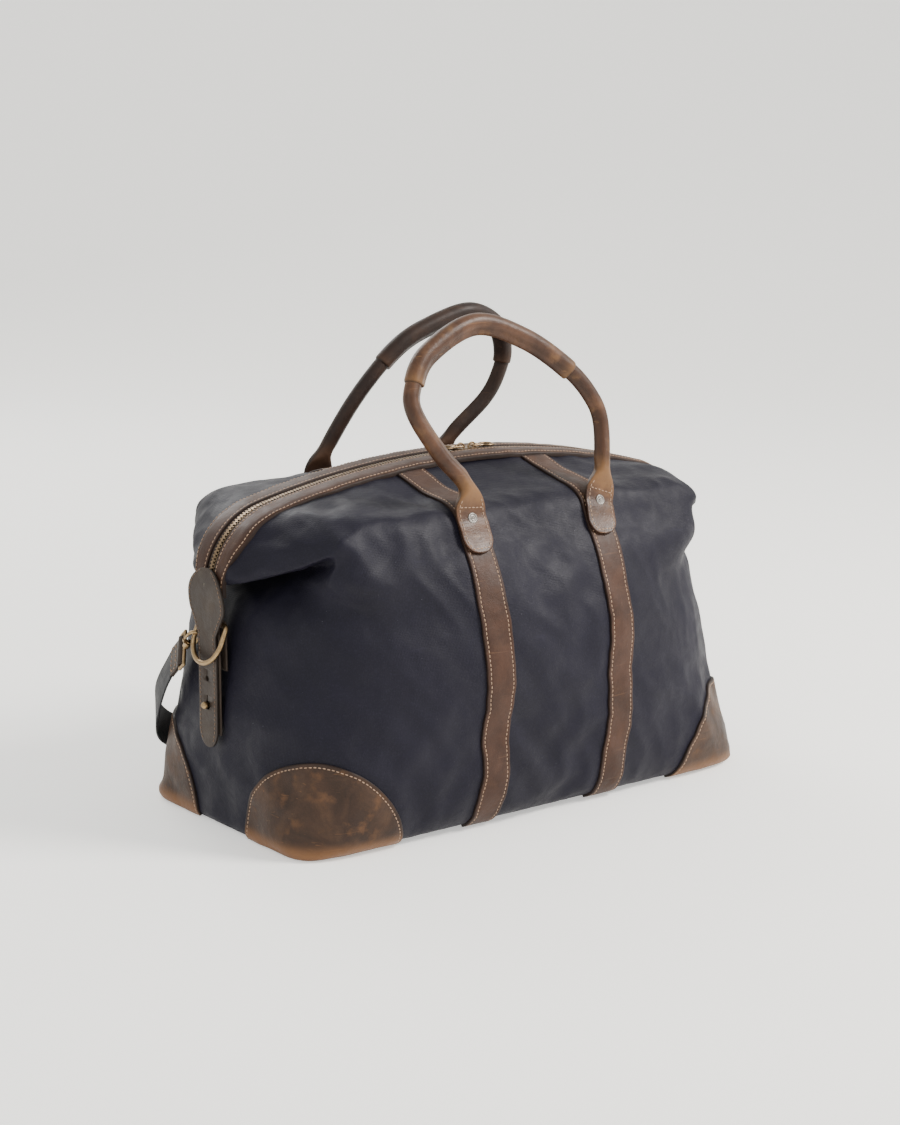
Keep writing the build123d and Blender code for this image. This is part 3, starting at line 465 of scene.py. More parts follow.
def settle(grid, marks):
    """Runs the cloth over the body grid and returns the settled points."""
    rows, cols = grid.shape[:2]
    obj = mesh_object("settling", grid.reshape(-1, 3) * MM, grid_faces(rows, cols, True), CANVAS)
    pins = obj.vertex_groups.new(name="pins")
    for r in range(rows):
        hold = 1.0 if r in (0, rows - 1) else 0.16
        for c in range(cols):
            w = hold
            k = c % (2 * QUARTER)
            k = min(k, 2 * QUARTER - k)
            if 0 < r < rows - 1:
                if 54 <= k <= 60:
                    w = 0.24
                if k < 8 and marks[9] - 6 < r:
                    w = 0.6
                if abs(r - marks[10]) <= 1:
                    w = max(w, 0.3)
                if abs(k - 24) < 4 and r > marks[8]:
                    w = max(w, 0.35)
            pins.add([r * cols + c], w, "REPLACE")
    cloth = obj.modifiers.new("cloth", "CLOTH")
    s = cloth.settings
    s.quality = 6
    s.mass = 0.12
    s.tension_stiffness = s.compression_stiffness = 22
    s.shear_stiffness = 6
    s.bending_stiffness = 2.5
    s.shrink_min = -0.024
    s.use_pressure = True
    s.uniform_pressure_force = 0.8
    s.vertex_group_mass = "pins"
    s.pin_stiffness = 1.0
    s.effector_weights.gravity = 0.25
    cloth.collision_settings.use_collision = False
    cloth.collision_settings.use_self_collision = False
    scene = bpy.context.scene
    scene.frame_start, scene.frame_end = 1, 26
    cloth.point_cache.frame_start, cloth.point_cache.frame_end = 1, 26
    for f in range(1, 27):
        scene.frame_set(f)
    settled = obj.evaluated_get(bpy.context.evaluated_depsgraph_get())
    co = np.zeros(rows * cols * 3)
    settled.data.vertices.foreach_get("co", co)
    scene.frame_set(1)
    bpy.data.objects.remove(obj)
    return co.reshape(rows, cols, 3) / MM


def blur(table, times):
    """Averages a grid with its neighbours, round the bag and up it."""
    for _ in range(times):
        table = (np.roll(table, 1, 1) + 2 * table + np.roll(table, -1, 1)) / 4
        up = np.concatenate([table[:1], table[:-1]])
        down = np.concatenate([table[1:], table[-1:]])
        table = (up + 2 * table + down) / 4
    return table


def soft_limit(table, most):
    size = np.linalg.norm(table, axis=-1, keepdims=True)
    return table * np.tanh(size / most) * most / np.maximum(size, 1e-9)


def keep_folds(before_it, settled, marks):
    """Keeps the settled cloth's folds and takes back most of its overall swelling or sagging."""
    move = settled - before_it
    broad = blur(move, 40)
    fine = blur(move, 3) - broad
    print("cloth moved", np.abs(broad).max(), np.abs(fine).max(), np.abs(fine).mean())
    columns = np.arange(before_it.shape[1]) % (2 * QUARTER)
    columns = np.minimum(columns, 2 * QUARTER - columns)
    stiff = 1 - 0.6 * smooth_step(52, 54.5, columns) * smooth_step(62, 59.5, columns)
    away = Vector((5, 1, 8))
    patchy = np.array([[noise.noise(Vector(p / 120) + away) for p in row] for row in before_it])
    amount = stiff[None] * smooth_step(-0.45, 0.5, patchy) * 1.15
    free = 1 - calm(*before_it.shape[:2], marks)[..., None]
    out = before_it + free * (soft_limit(0.35 * broad, 3.0) + soft_limit(amount[..., None] * fine, 5.0))
    out[0], out[-1] = before_it[0], before_it[-1]
    return out


class Surface:
    """The settled body, read anywhere by column and row."""

    def __init__(self, grid):
        self.grid = grid
        self.rows, self.cols = grid.shape[:2]

    def at(self, s, t):
        t = np.clip(np.asarray(t, float), 0, self.rows - 1.0001)
        s, t = np.broadcast_arrays(np.asarray(s, float), t)
        si, ti = np.floor(s).astype(int), np.floor(t).astype(int)
        fs, ft = s - si, t - ti

        def weights(f):
            square, cube = f**2, f**3
            return [
                -0.5 * f + square - 0.5 * cube, 1 - 2.5 * square + 1.5 * cube,
                0.5 * f + 2 * square - 1.5 * cube, 0.5 * (cube - square),
            ]

        ws, wt = weights(fs), weights(ft)
        out = 0
        for i in range(4):
            row = np.clip(ti + i - 1, 0, self.rows - 1)
            for j in range(4):
                out = out + self.grid[row, (si + j - 1) % self.cols] * (wt[i] * ws[j])[..., None]
        return out

    def normal(self, s, t):
        e = 0.3
        du = self.at(np.asarray(s) + e, t) - self.at(np.asarray(s) - e, t)
        dv = self.at(s, np.asarray(t) + e) - self.at(s, np.asarray(t) - e)
        return unit(np.cross(du, dv))


rest, marks = rest_body()
print("rows", rest.shape, marks)
shape = rumple(rest, marks)
shape = keep_folds(shape, settle(shape, marks), marks)
body = Surface(shape)
flat = Surface(rest)


def canvas_body():
    """The canvas at render fineness, with the small creases the cloth grid is too coarse for."""
    s = np.arange(0, RING, 0.5)
    t = np.arange(0, body.rows - 0.5, 0.5)
    ss, tt = np.meshgrid(s, t)
    p, n = body.at(ss, tt), body.normal(ss, tt)
    d = np.zeros(ss.shape)
    for i in range(len(t)):
        for j in range(len(s)):
            x, y, z = p[i, j]
            v = Vector(((x + 0.5 * z) / 17, y / 17, (z - 0.6 * x) / 30))
            w = Vector((x / 8, y / 8, z / 11))
            d[i, j] = 0.42 * (0.4 - abs(noise.noise(v))) + 0.16 * noise.noise(w)
    p = p + n * d[..., None] - n * 0.3
    rows, cols = p.shape[:2]
    verts = list(p.reshape(-1, 3))
    faces = grid_faces(rows, cols, True)
    # turn the free edge at the zip inward, and close the base
    inner = p[-1] * (1, 0.55, 1) - (0, 0, 5)
    start = len(verts)
    verts += list(inner)
    last = (rows - 1) * cols
    for c in range(cols):
        n = (c + 1) % cols
        faces.append((last + c, last + n, start + n, start + c))
    start = len(verts)
    verts += list(p[0] * (0.97, 0.95, 1))
    faces += [(c, start + c, start + (c + 1) % cols, (c + 1) % cols) for c in range(cols)]
    centre = len(verts)
    verts.append((0, 0, 2.4))
    faces += [(start + c, centre, start + (c + 1) % cols) for c in range(cols)]
    return mesh_object("canvas_body", np.array(verts) * MM, faces, CANVAS)


canvas = canvas_body()
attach(canvas, "bag")
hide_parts("front_panel", "back_panel", "left_end_gusset", "right_end_gusset", "base_panel")


# -------------------- stitching

SEAMS = {}


def capsule(length, radius):
    """A plump stitch along x: points and faces."""
    rings, around = [(-0.44, 0.62), (-0.25, 0.95), (0, 1.0), (0.25, 0.95), (0.44, 0.62)], 6
    verts = [(-length / 2, 0, -radius * 0.6)]
    for at, size in rings:
        sag = -radius * 0.6 * (abs(at) * 2) ** 3
        for k in range(around):
            a = 2 * math.pi * k / around
            wide = size * radius
            verts.append((at * length, math.cos(a) * wide, math.sin(a) * wide * 0.8 + sag))
    verts.append((length / 2, 0, -radius * 0.6))
    count, faces = len(rings), []
    for k in range(around):
        n = (k + 1) % around
        faces.append((0, 1 + n, 1 + k))
        last = 1 + (count - 1) * around
        faces.append((len(verts) - 1, last + k, last + n))
    faces += grid_faces(count, around, True, 1)
    return np.array(verts), np.array([f if len(f) == 4 else (*f, f[-1]) for f in faces])


def seam(group, points, normals, pitch=4.0, length=3.0, radius=0.52, lift=0.14, margin=0.0):
    """Lays stitches along a line of points; group names the mesh they join."""
    points, normals = np.asarray(points, float), np.asarray(normals, float)
    run = np.concatenate([[0], np.cumsum(np.linalg.norm(np.diff(points, axis=0), axis=1))])
    count = int((run[-1] - 2 * margin) / pitch)
    if count < 1:
        return
    at = margin + (np.arange(count) + 0.5) * (run[-1] - 2 * margin) / count

    def read(table, where):
        return np.stack([np.interp(where, run, table[:, k]) for k in range(3)], 1)

    p, n = read(points, at), unit(read(normals, at))
    t = unit(read(points, at + 0.6) - read(points, at - 0.6))
    b = unit(np.cross(n, t))
    n = np.cross(t, b)
    sway = np.array([[rng.gauss(0, 0.05), rng.gauss(0, 0.09)] for _ in at])
    t2 = unit(t + b * sway[:, :1])
    b = np.cross(n, t2)
    p = p + n * lift + b * sway[:, 1:]
    v, f = capsule(length, radius)
    verts = p[:, None] + sum(v[None, :, k, None] * axis[:, None] for k, axis in enumerate((t2, b, n)))
    faces = f[None] + (np.arange(count) * len(v))[:, None, None]
    SEAMS.setdefault(group, []).append((verts.reshape(-1, 3), faces.reshape(-1, 4)))


def seam_mesh(group, material):
    verts, faces, start = [], [], 0
    for v, f in SEAMS.pop(group):
        verts.append(v)
        faces += [tuple(q) if q[2] != q[3] else tuple(q[:3]) for q in (f + start)]
        start += len(v)
    return mesh_object(group + "_stitching", np.vstack(verts) * MM, faces, material)


# -------------------- leather sewn on the canvas


def patch(name, s, t, lift, material, under=-0.8):
    """A thin leather sheet laid on the body; s and t are grids of places, lift is its height there."""
    p, n = body.at(s, t), body.normal(s, t)
    lift = np.broadcast_to(lift, s.shape)
    p = p + n * lift[..., None]
    foot = body.at(s, t) + n * under
    big = np.zeros((p.shape[0] + 2, p.shape[1] + 2, 3))
    big[1:-1, 1:-1] = p
    big[0, 1:-1], big[-1, 1:-1], big[1:-1, 0], big[1:-1, -1] = foot[0], foot[-1], foot[:, 0], foot[:, -1]
    big[0, 0], big[0, -1], big[-1, 0], big[-1, -1] = foot[0, 0], foot[0, -1], foot[-1, 0], foot[-1, -1]
    rows, cols = big.shape[:2]
    return mesh_object(name, big.reshape(-1, 3) * MM, grid_faces(rows, cols), material), p, n


def rim_values(shape, across, along=None):
    """Point values of a patch that are 1 at its rim and fall to 0 inside."""
    big = np.ones((shape[0] + 2, shape[1] + 2))
    big[1:-1, 1:-1] = np.maximum(across, along if along is not None else across)
    return big.reshape(-1)


OFFSETS = np.array([0, 0.25, 0.7, 1.4, 2.4, 3.0, 3.5, 4.0, 4.7, 6.5, 9, 12, 15])
OFFSETS = np.concatenate([OFFSETS, 30 - OFFSETS[-2::-1]])


def edge_profile(inset, thick, groove=0.3):
    """Height of a sewn leather sheet at a distance from its cut edge."""
    return thick * (1 - 0.4 * np.exp(-inset / 0.35)) - groove * np.exp(-((inset - 3.5) / 0.6) ** 2)


def wrap_straps():
    """The two straps, each as a front and a back half that wander a little on their way up."""
    made = []
    inset = np.minimum(OFFSETS, 30 - OFFSETS)
    for label, first in (("back_right", 54), ("back_left", 82), ("front_left", 196), ("front_right", 224)):
        t = np.concatenate([np.arange(0, 71.9, 0.5), [72.1]])
        s, t = np.meshgrid(first + OFFSETS / 5, t)
        slow = np.array([noise.noise(Vector((a / 7.5, first, 0))) for a in t[:, 0]])
        quick = np.array([noise.noise(Vector((a / 2.6, first, 5))) for a in t[:, 0]])
        wander = (0.5 * slow + 0.22 * quick) * smooth_step(46, 40, t[:, 0])
        s = s + wander[:, None]
        wave = [[noise.noise(Vector((b / 9, a / 2.5, first))) for b in OFFSETS] for a in t[:, 0]]
        lift = 0.2 + edge_profile(inset, 2.0)[None] + 0.25 * np.array(wave)
        obj, p, n = patch("wrap_" + label, s, t, lift, LEATHER)
        edge = np.exp(-inset / 0.8)[None].repeat(len(t), 0)
        attribute(obj, "edge", rim_values(s.shape, edge))
        for column in (6, len(OFFSETS) - 7):
            seam("body", p[:, column], n[:, column])
        made.append((label, obj))
    for label, obj in made:
        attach(obj, "bag")
        side = label.split("_")[1]
        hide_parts(side + "_wrap_strap")


def corner_patch(label, column):
    """Leather corner: a round-edged fan of the body surface about the bottom corner."""
    centre = flat.at(column, 0.0)
    reach = 84.0
    angles = np.linspace(0, math.pi, 61)
    shares = np.array([
        0, 0.04, 0.1, 0.18, 0.26, 0.34, 0.42, 0.5, 0.58, 0.66, 0.74,
        0.81, 0.87, 0.915, 0.94, 0.958, 0.966, 0.975, 0.985, 0.992, 0.997, 1,
    ])
    s_grid, t_grid = np.zeros((len(shares), len(angles))), np.zeros((len(shares), len(angles)))
    for k, a in enumerate(angles):
        ds, dt = math.cos(a), math.sin(a) * 1.35
        far = np.linspace(0, 34, 340)
        line = flat.at(column + ds * far, np.maximum(0, dt * far))
        dist = np.linalg.norm(line - centre, axis=1)
        target = reach - 1.0 * (0.5 + 0.5 * noise.noise(Vector((a * 3, column, 0))))
        at = np.interp(shares * target, np.maximum.accumulate(dist), far)
        s_grid[:, k], t_grid[:, k] = column + ds * at, np.maximum(0, dt * at)
    inset = (1 - shares) * reach
    # the fan starts from a tiny arc so that no two points meet
    s_grid[0], t_grid[0] = column + np.cos(angles) * 0.05, np.sin(angles) * 0.05
    wave = np.zeros(s_grid.shape)
    for place in np.ndindex(s_grid.shape):
        wave[place] = noise.noise(Vector((s_grid[place] / 3.1, t_grid[place] / 3.5, column)))
    lift = 0.25 + edge_profile(inset, 2.0)[:, None] + 0.5 * wave
    obj, p, n = patch(label + "_corner_leather", s_grid[::-1], t_grid[::-1], lift[::-1], CORNER)
    edge = np.exp(-inset / 0.9)[::-1, None].repeat(len(angles), 1)
    attribute(obj, "edge", rim_values(s_grid.shape, edge))
    z = p[..., 2]
    worn = smooth_step(22, 3, z) * 0.9
    attribute(obj, "pull", np.pad(worn, 1).reshape(-1))
    row = int(np.argmin(np.abs(inset[::-1] - 3.5)))
    seam("body", p[row], n[row])
    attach(obj, "bag")
    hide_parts(label + "_corner")


wrap_straps()
for name, column in (("back_right", 24), ("back_left", 118), ("front_left", 166), ("front_right", 260)):
    corner_patch(name, column)


# -------------------- zip line


def ridge_normal(run):
    a, b = np.array(along_ridge(np.asarray(run) - 0.5)), np.array(along_ridge(np.asarray(run) + 0.5))
    t = unit((b - a).T)
    return np.stack([-t[:, 1], 0 * t[:, 0], t[:, 0]], 1)


def zip_band(label, side, inner, outer, low, high, material, waviness):
    """Closed band along one side of the zip, from one end of the bag over the top to the other."""
    run = np.linspace(-312, 312, 313)
    across = np.linspace(0, outer - inner, 5)
    if outer > 20:
        near = np.array([0, 0.2, 0.8, 1.6, 2.6, 3.2, 3.8, 5, 9, 13])
        across = np.concatenate([near, [17, 20.5, 22.4, 23.2, 24.4, 25.2, 25.8, 26]])
    n = ridge_normal(run)
    top = np.zeros((len(run), len(across), 3))
    for i, r in enumerate(run):
        x, z = along_ridge(r)
        wave = waviness * noise.noise(Vector((r / 21, side * 5, 0)))
        rise = waviness * 0.7 * noise.noise(Vector((r / 17, side * 9, 3)))
        narrow = 1 - (0.36 * smooth_step(255, 300, abs(r)) if outer > 20 else 0)
        for j, a in enumerate(across):
            y = inner + a * narrow + wave * (a / max(outer - inner, 1))
            inset = min(a, (outer - inner) - a)
            fall = 2.6 * max(0, (y - 22) / 11) ** 2 if outer > 20 else 0
            sheet = edge_profile(inset, high - low, 0.25 if waviness else 0)
            lift = low + sheet - fall + rise * min(1, a / 6)
            top[i, j] = np.array((x, side * y, z)) + n[i] * lift
    shell = np.zeros((len(run), len(across) + 2, 3))
    shell[:, 1:-1] = top
    shell[:, 0] = top[:, 0] - n * (high - low + 0.2)
    shell[:, -1] = top[:, -1] - n * (high - low + 1.4)
    rows, cols = shell.shape[:2]
    obj = mesh_object(label, shell.reshape(-1, 3) * MM, grid_faces(rows, cols, flip=side > 0), material)
    if waviness:
        inset = np.minimum(across, (outer - inner) - across)
        edge = np.pad(np.exp(-inset / 0.8), 1, constant_values=1)
        attribute(obj, "edge", np.tile(edge, rows))
        seam("body", top[:, 5], n)
        seam("body", top[:, 13], n)
    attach(obj, "bag")
    return obj


for where, side in (("front", -1), ("back", 1)):
    facing = zip_band(where + "_facing_leather", side, 7, 33, 0.95, 2.85, LEATHER, 0.9)
    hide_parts(where + "_zip_facing")
    tape = zip_band(where + "_tape_cloth", side, 3.6, 9, 0.2, 0.75, TAPE, 0)
    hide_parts(where + "_zip_tape")


# -------------------- straps and rolls


def sweep(name, centres, sides, normals, half_wide, half_thick, power, material, around=40,
          ridge_at=None, ridge_high=0.0):
    """Closed solid along centres with a rounded oblong section; ridge_at adds a sewn ridge there."""
    centres, sides, normals = (np.asarray(v, float) for v in (centres, sides, normals))
    count = len(centres)
    w, h, e = (np.broadcast_to(v, (count,)) for v in (half_wide, half_thick, power))
    a = np.linspace(0, 2 * math.pi, around, endpoint=False)
    ca, sa = np.cos(a), np.sin(a)
    u = np.sign(ca) * np.abs(ca) ** (2 / e[:, None]) * w[:, None]
    v = np.sign(sa) * np.abs(sa) ** (2 / e[:, None]) * h[:, None]
    if ridge_at is not None:
        gap = (a - ridge_at + math.pi) % (2 * math.pi) - math.pi
        grow = 1 + np.broadcast_to(ridge_high, (count,))[:, None] * np.exp(-(gap / 0.34) ** 2)[None]
        u, v = u * grow, v * grow
    points = centres[:, None] + u[..., None] * sides[:, None] + v[..., None] * normals[:, None]
    verts = np.vstack([points.reshape(-1, 3), centres[:1], centres[-1:]])
    faces = grid_faces(count, around, True)
    last = count * around
    for k in range(around):
        n = (k + 1) % around
        faces.append((last, n, k))
        faces.append((last + 1, (count - 1) * around + k, (count - 1) * around + n))
    obj = mesh_object(name, verts * MM, faces, material)
    outward(obj)
    return obj


def outward(obj):
    bm = bmesh.new()
    bm.from_mesh(obj.data)
    bmesh.ops.recalc_face_normals(bm, faces=bm.faces)
    bm.to_mesh(obj.data)
    bm.free()


LEAN = math.radians(13)
# Where each handle's roll passes: along X, and up its own leaning plane from the line it swings on
FRONT_ROLL = [
    (-74, 12), (-97, 41), (-119, 80), (-117, 104), (-96, 132), (-40, 155),
    (15, 138), (60, 107), (83, 80), (91, 54), (85, 12),
]
BACK_ROLL = [
    (-62, 12), (-32, 66), (8, 112), (48, 133), (92, 143),
    (128, 127), (142, 100), (140, 74), (127, 48), (90, 12),
]


def tab_line(column, side, lean):
    """Middle of a handle tab on the wrap strap, from its round end to where it leaves the canvas."""
    t = np.linspace(44, 60, 200)
    p = body.at(column, t) + body.normal(column, t) * 4.5
    low, high = np.interp(253, p[:, 2], t), np.interp(284, p[:, 2], t)
    t = np.linspace(low, high, 5)
    p = body.at(column, t) + body.normal(column, t) * 4.2
    p[:, 0] += np.array([0, 0.02, 0.08, 0.19, 0.36]) * lean
    return p


def handle(where, side, roll, columns, material):
    up = np.array([0, -side * math.sin(LEAN), math.cos(LEAN)])
    world = [np.array([x, side * 121.0, 298.0]) + up * rise for x, rise in roll]
    first = tab_line(columns[0], side, roll[0][0] + 72)
    last = tab_line(columns[1], side, roll[-1][0] - 72)
    path = spline([*first, *world, *last[::-1]], 520)
    plane_normal = unit(np.array([0, side * math.cos(LEAN), math.sin(LEAN)]))
    t = unit(np.gradient(path, axis=0))
    b = unit(np.cross(plane_normal[None], t))
    n = np.cross(t, b)
    middle = path.mean(0)
    inside = 1 if np.dot(b[len(b) // 2], middle - path[len(path) // 2]) > 0 else -1
    run = np.concatenate([[0], np.cumsum(np.linalg.norm(np.diff(path, axis=0), axis=1))])
    e = np.minimum(run, run[-1] - run)
    tip = np.sqrt(np.clip(1 - ((15 - np.minimum(e, 15)) / 15) ** 2, 0.0004, 1)) ** 0.85
    flare = smooth_step(41, 66, e)
    wide = (16 + (7.0 - 16) * flare) * tip
    thick = 1.5 + 5.5 * smooth_step(40, 62, e)
    power = 7 - 4.9 * smooth_step(40, 60, e)
    rolled = smooth_step(58, 74, e)
    angle = 0.0 if inside > 0 else math.pi
    obj = sweep(where + "_handle_leather", path, b, n, wide, thick, power, material, 44, angle, 0.34 * rolled)
    pull = 0.62 * np.exp(-((e - 58) / 17) ** 2)
    attribute(obj, "pull", np.concatenate([np.repeat(pull, 44), [0, 0]]))
    edge = 0.7 * (1 - rolled)
    lip = np.abs(np.cos(np.linspace(0, 2 * math.pi, 44, endpoint=False))) ** 30
    attribute(obj, "edge", np.concatenate([(edge[:, None] * lip[None]).reshape(-1), [1, 1]]))
    # rim stitches on the tabs, then along the sewn ridge of the roll
    face = n * np.sign(np.sum(n * plane_normal, axis=1))[:, None]
    group = where + "_handle"
    near = e < 50
    for half in (run < run[-1] / 2, run >= run[-1] / 2):
        pick = np.where(half & near & (e > 3.6))[0]
        if half[-1]:
            pick = pick[::-1]
        reach = b[pick] * (wide[pick] - 3.4)[:, None]
        lo, hi = path[pick] + reach, path[pick] - reach
        height = (thick[pick] + 0.02)[:, None] * face[pick]
        height = height * (1 - 0.06 * smooth_step(36, 52, e[pick]))[:, None]
        line = np.vstack([(lo + height)[::-1], hi + height])
        seam(group, line, np.vstack([face[pick][::-1], face[pick]]), radius=0.5)
        k = pick[np.argmin(np.abs(e[pick] - 42))]
        row = path[k] + b[k] * np.linspace(-12.5, 12.5, 9)[:, None] + face[k] * (thick[k] + 0.02)
        seam(group, row, np.tile(face[k], (9, 1)), radius=0.5)
    pick = np.where(e > 70)[0]
    across = b[pick] * inside
    for flank in (1, -1):
        outside = n[pick] * flank
        seam(group, path[pick] + across * 7.3 + outside * 1.45, outside + across * 0.3, radius=0.4, lift=0.0)
    for half in (run < run[-1] / 2, run >= run[-1] / 2):
        pick = np.where(half)[0]
        k = pick[np.argmin(np.abs(e[pick] - 33))]
        RIVETS.append((path[k] + face[k] * thick[k], face[k]))
    stitching = seam_mesh(group, THREAD)
    inner = slice(40, -40)
    slim = np.minimum(3.0, thick[inner] - 1.1)
    core = sweep(where + "_handle_cord", path[inner], b[inner], n[inner], 3.0, slim, 2, CORD, 12)
    # the grip wrapped round the middle of the roll
    base = run[-1] - 2 * 48
    pick = np.where((run > 48 + 0.27 * base) & (run < 48 + 0.74 * base))[0]
    local = run[pick] - run[pick][0]
    from_end = np.minimum(local, local[-1] - local)
    ends = 1 - 0.16 * np.exp(-from_end / 0.7)
    centres, wide, thick = path[pick], 8.35 * ends, 8.25 * ends
    sleeve = sweep(where + "_grip", centres, b[pick], n[pick], wide, thick, 2.1, material, 44, angle, 0.42)
    attribute(sleeve, "edge", np.concatenate([np.repeat(np.exp(-from_end / 1.2), 44), [1, 1]]))
    attribute(sleeve, "pull", np.concatenate([np.repeat(0.7 * np.exp(-from_end / 9), 44), [0, 0]]))
    across = b[pick] * inside
    inner = slice(6, -6)
    for flank in (1, -1):
        outside = n[pick] * flank
        line, normals = centres + across * 9.3 + outside * 1.8, outside + across * 0.3
        seam(group + "_grip", line[inner], normals[inner], radius=0.42, lift=0.0)
    grip_stitches = seam_mesh(group + "_grip", THREAD)
    for piece in (obj, stitching, core):
        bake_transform(piece)
    for piece in (sleeve, grip_stitches):
        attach(piece, where + "_handle")
    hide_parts(where + "_handle_roll", where + "_left_handle_tab", where + "_right_handle_tab")
    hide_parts(where + "_handle_core")
    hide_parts(where + "_handle_sleeve")


RIVETS = []


def rivets():
    """Four capped rivets: a flat rim, a ring groove and a small pin head."""
    profile = [
        (5.0, -1.2), (5.05, 0.35), (4.8, 0.75), (4.2, 0.9), (3.5, 0.85), (3.2, 0.5), (2.4, 0.45),
        (2.1, 0.75), (1.6, 0.8), (1.3, 0.45), (1.2, 0.5), (1.0, 0.95), (0.5, 1.15), (0.02, 1.2),
    ]
    verts, faces = [], []
    for place, face in RIVETS:
        a = unit(np.cross(face, (1.0, 0, 0)))
        b = np.cross(face, a)
        start = len(verts)
        for radius, height in profile:
            for k in range(32):
                turn = 2 * math.pi * k / 32
                verts.append(place + face * height + (a * math.cos(turn) + b * math.sin(turn)) * radius)
        faces += grid_faces(len(profile), 32, True, start)
    obj = mesh_object("tab_rivets", np.array(verts) * MM, faces, NICKEL)
    outward(obj)
    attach(obj, "bag")
    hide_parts("handle_rivets", "rivet_washers")


CORD = plain("cotton cord", (0.55, 0.5, 0.42), 0.9)
handle("front", -1, FRONT_ROLL, (199, 227), HANDLE)
# the back handle takes the darker copy of the handle leather, with painted shade in its colour
handle("back", 1, BACK_ROLL, (85, 57), SHADED_BACK_HANDLE)
rivets()


# -------------------- ends of the bag


def bend_line(z, lift):
    """Points and normals of the end's middle line at heights z."""
    z = np.asarray(z, float)
    up = np.clip((z - BEND_Z) / (BEND + lift), 0, 0.999)
    nx = np.sqrt(1 - up**2)
    x = BEND_X + (BEND + lift) * nx
    return np.stack([x, 0 * x, z], 1), np.stack([nx, 0 * x, up], 1)


def shield_half(z):
    """Half width of the end leather: round tip, straight strap, widening neck and round shield."""
    circle = np.sqrt(np.maximum(29**2 - (z - 212) ** 2, 0.0))
    neck = np.interp(z, [79, 97, 182, 202], [15, 15, 15, 27])
    tip = 15 * np.sqrt(np.clip(1 - ((97 - np.minimum(z, 97)) / 18.0) ** 2, 0.0005, 1)) ** 0.9
    return np.where(z > 202, circle, np.where(z < 97, tip, neck))


def end_leather(label, sign):
    """Everything sewn at one end of the bag; sign is -1 at the left."""
    flip = np.array([sign, 1, 1])
    tip = 79 + 18 * (1 - np.cos(np.linspace(0.02, math.pi / 2, 18)))
    round_top = 212 + 29 * np.sin(np.linspace(-0.33, 1.55, 40))
    z = np.concatenate([tip, np.linspace(98.5, 200, 80), round_top])
    c, n = bend_line(z, 4.3)
    c = c + n * 1.5 * smooth_step(200, 228, z)[:, None]
    side = np.tile((0.0, 1, 0), (len(z), 1))
    half = np.maximum(shield_half(z), 0.3)
    # a slight bow and a curl at the tip, as leather that has been bent and unbuckled takes
    curl = 0.5 * smooth_step(110, 79, z) + 0.3 * np.sin(z / 13)
    c = c + n * np.clip(curl, 0, 0.6)[:, None]
    obj = sweep(label + "_end_leather", c * flip, side, n * flip, half, 1.3, 8, END, 48)
    inset = np.maximum(half - 3.4, 0)
    for k in (1, -1):
        pick = np.where((z > 84) & (z < 239))[0]
        line = (c + side * (inset * k)[:, None] + n * 1.3)[pick]
        seam(label + "_end", line * flip, (n * flip)[pick])
    lip = np.abs(np.cos(np.linspace(0, 2 * math.pi, 48, endpoint=False))) ** 24
    attribute(obj, "edge", np.concatenate([np.tile(lip, len(z)), [1, 1]]))
    stitching = seam_mesh(label + "_end", DARK_THREAD)
    cut_holes(obj, sign)
    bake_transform(obj)
    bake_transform(stitching)
    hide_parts(label + "_end_strap", label + "_strap_tail")
    anchor_strap(label, flip)
    chape(label, flip)


def anchor_strap(label, flip):
    """The loop that holds the D ring, behind the end strap."""
    turn = np.linspace(0, math.pi * 0.95, 16)
    over_bar = [(264.3 + 3.4 * math.cos(a), 192 + 3.4 * math.sin(a)) for a in turn]
    loop = [(267.68, 92), (267.68, 140), (267.68, 186), *over_bar, (260.9, 180), (260.6, 150)]
    path = resample(np.array([(x, 0, zz) for x, zz in loop]), 120)
    t = unit(np.gradient(path, axis=0))
    side = np.tile((0.0, 1, 0), (len(path), 1))
    normal = unit(np.cross(side, t))
    anchor = sweep(label + "_anchor_leather", path * flip, side, normal * flip, 16, 1.0, 8, END, 32)
    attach(anchor, "bag")
    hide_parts(label + "_anchor_strap")


def chape(label, flip):
    """The strip folded through the swivel eye and stitched to itself."""
    o, ex = np.array([270.233, 22.246, 176.544]), np.array([0, 0.766044, -0.642788])
    ey, ez = np.array([0.904512, 0.274115, 0.326678]), np.array([0.426448, -0.581409, -0.692897])
    turn = np.linspace(math.pi / 2, 3 * math.pi / 2, 14)
    round_bar = [(30.3 + 2.7 * math.cos(a), 2.7 * math.sin(a)) for a in turn]
    loop = [(51.6, 0.98), (44, 0.98), (36, 1.15), *round_bar, (36, -1.15), (44, -0.98), (51.6, -0.98)]
    flat_path = spline(loop, 110)
    path = o + flat_path[:, :1] * ex + flat_path[:, 1:2] * ey
    t = unit(np.gradient(path, axis=0))
    side = np.tile(ez, (len(path), 1))
    normal = unit(np.cross(side, t))
    strip = sweep(label + "_chape_leather", path * flip, side * flip, normal * flip, 15, 0.9, 8, END, 32)
    half = 11.8
    x = np.linspace(39.5, 49.8, 12)
    for face in (1, -1):
        for k in (1, -1):
            line = o + x[:, None] * ex + ez * half * k + ey * face * 1.95
            seam(label + "_chape", line * flip, np.tile(ey * face, (12, 1)) * flip)
        cross = np.linspace(-half, half, 12)
        for at in (39.5, 49.8):
            line = o + at * ex + cross[:, None] * ez + ey * face * 1.95
            seam(label + "_chape", line * flip, np.tile(ey * face, (12, 1)) * flip)
    stitching = seam_mesh(label + "_chape", THREAD)
    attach(strip, label + "_swivel")
    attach(stitching, label + "_swivel")
    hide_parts(label + "_strap_chape")


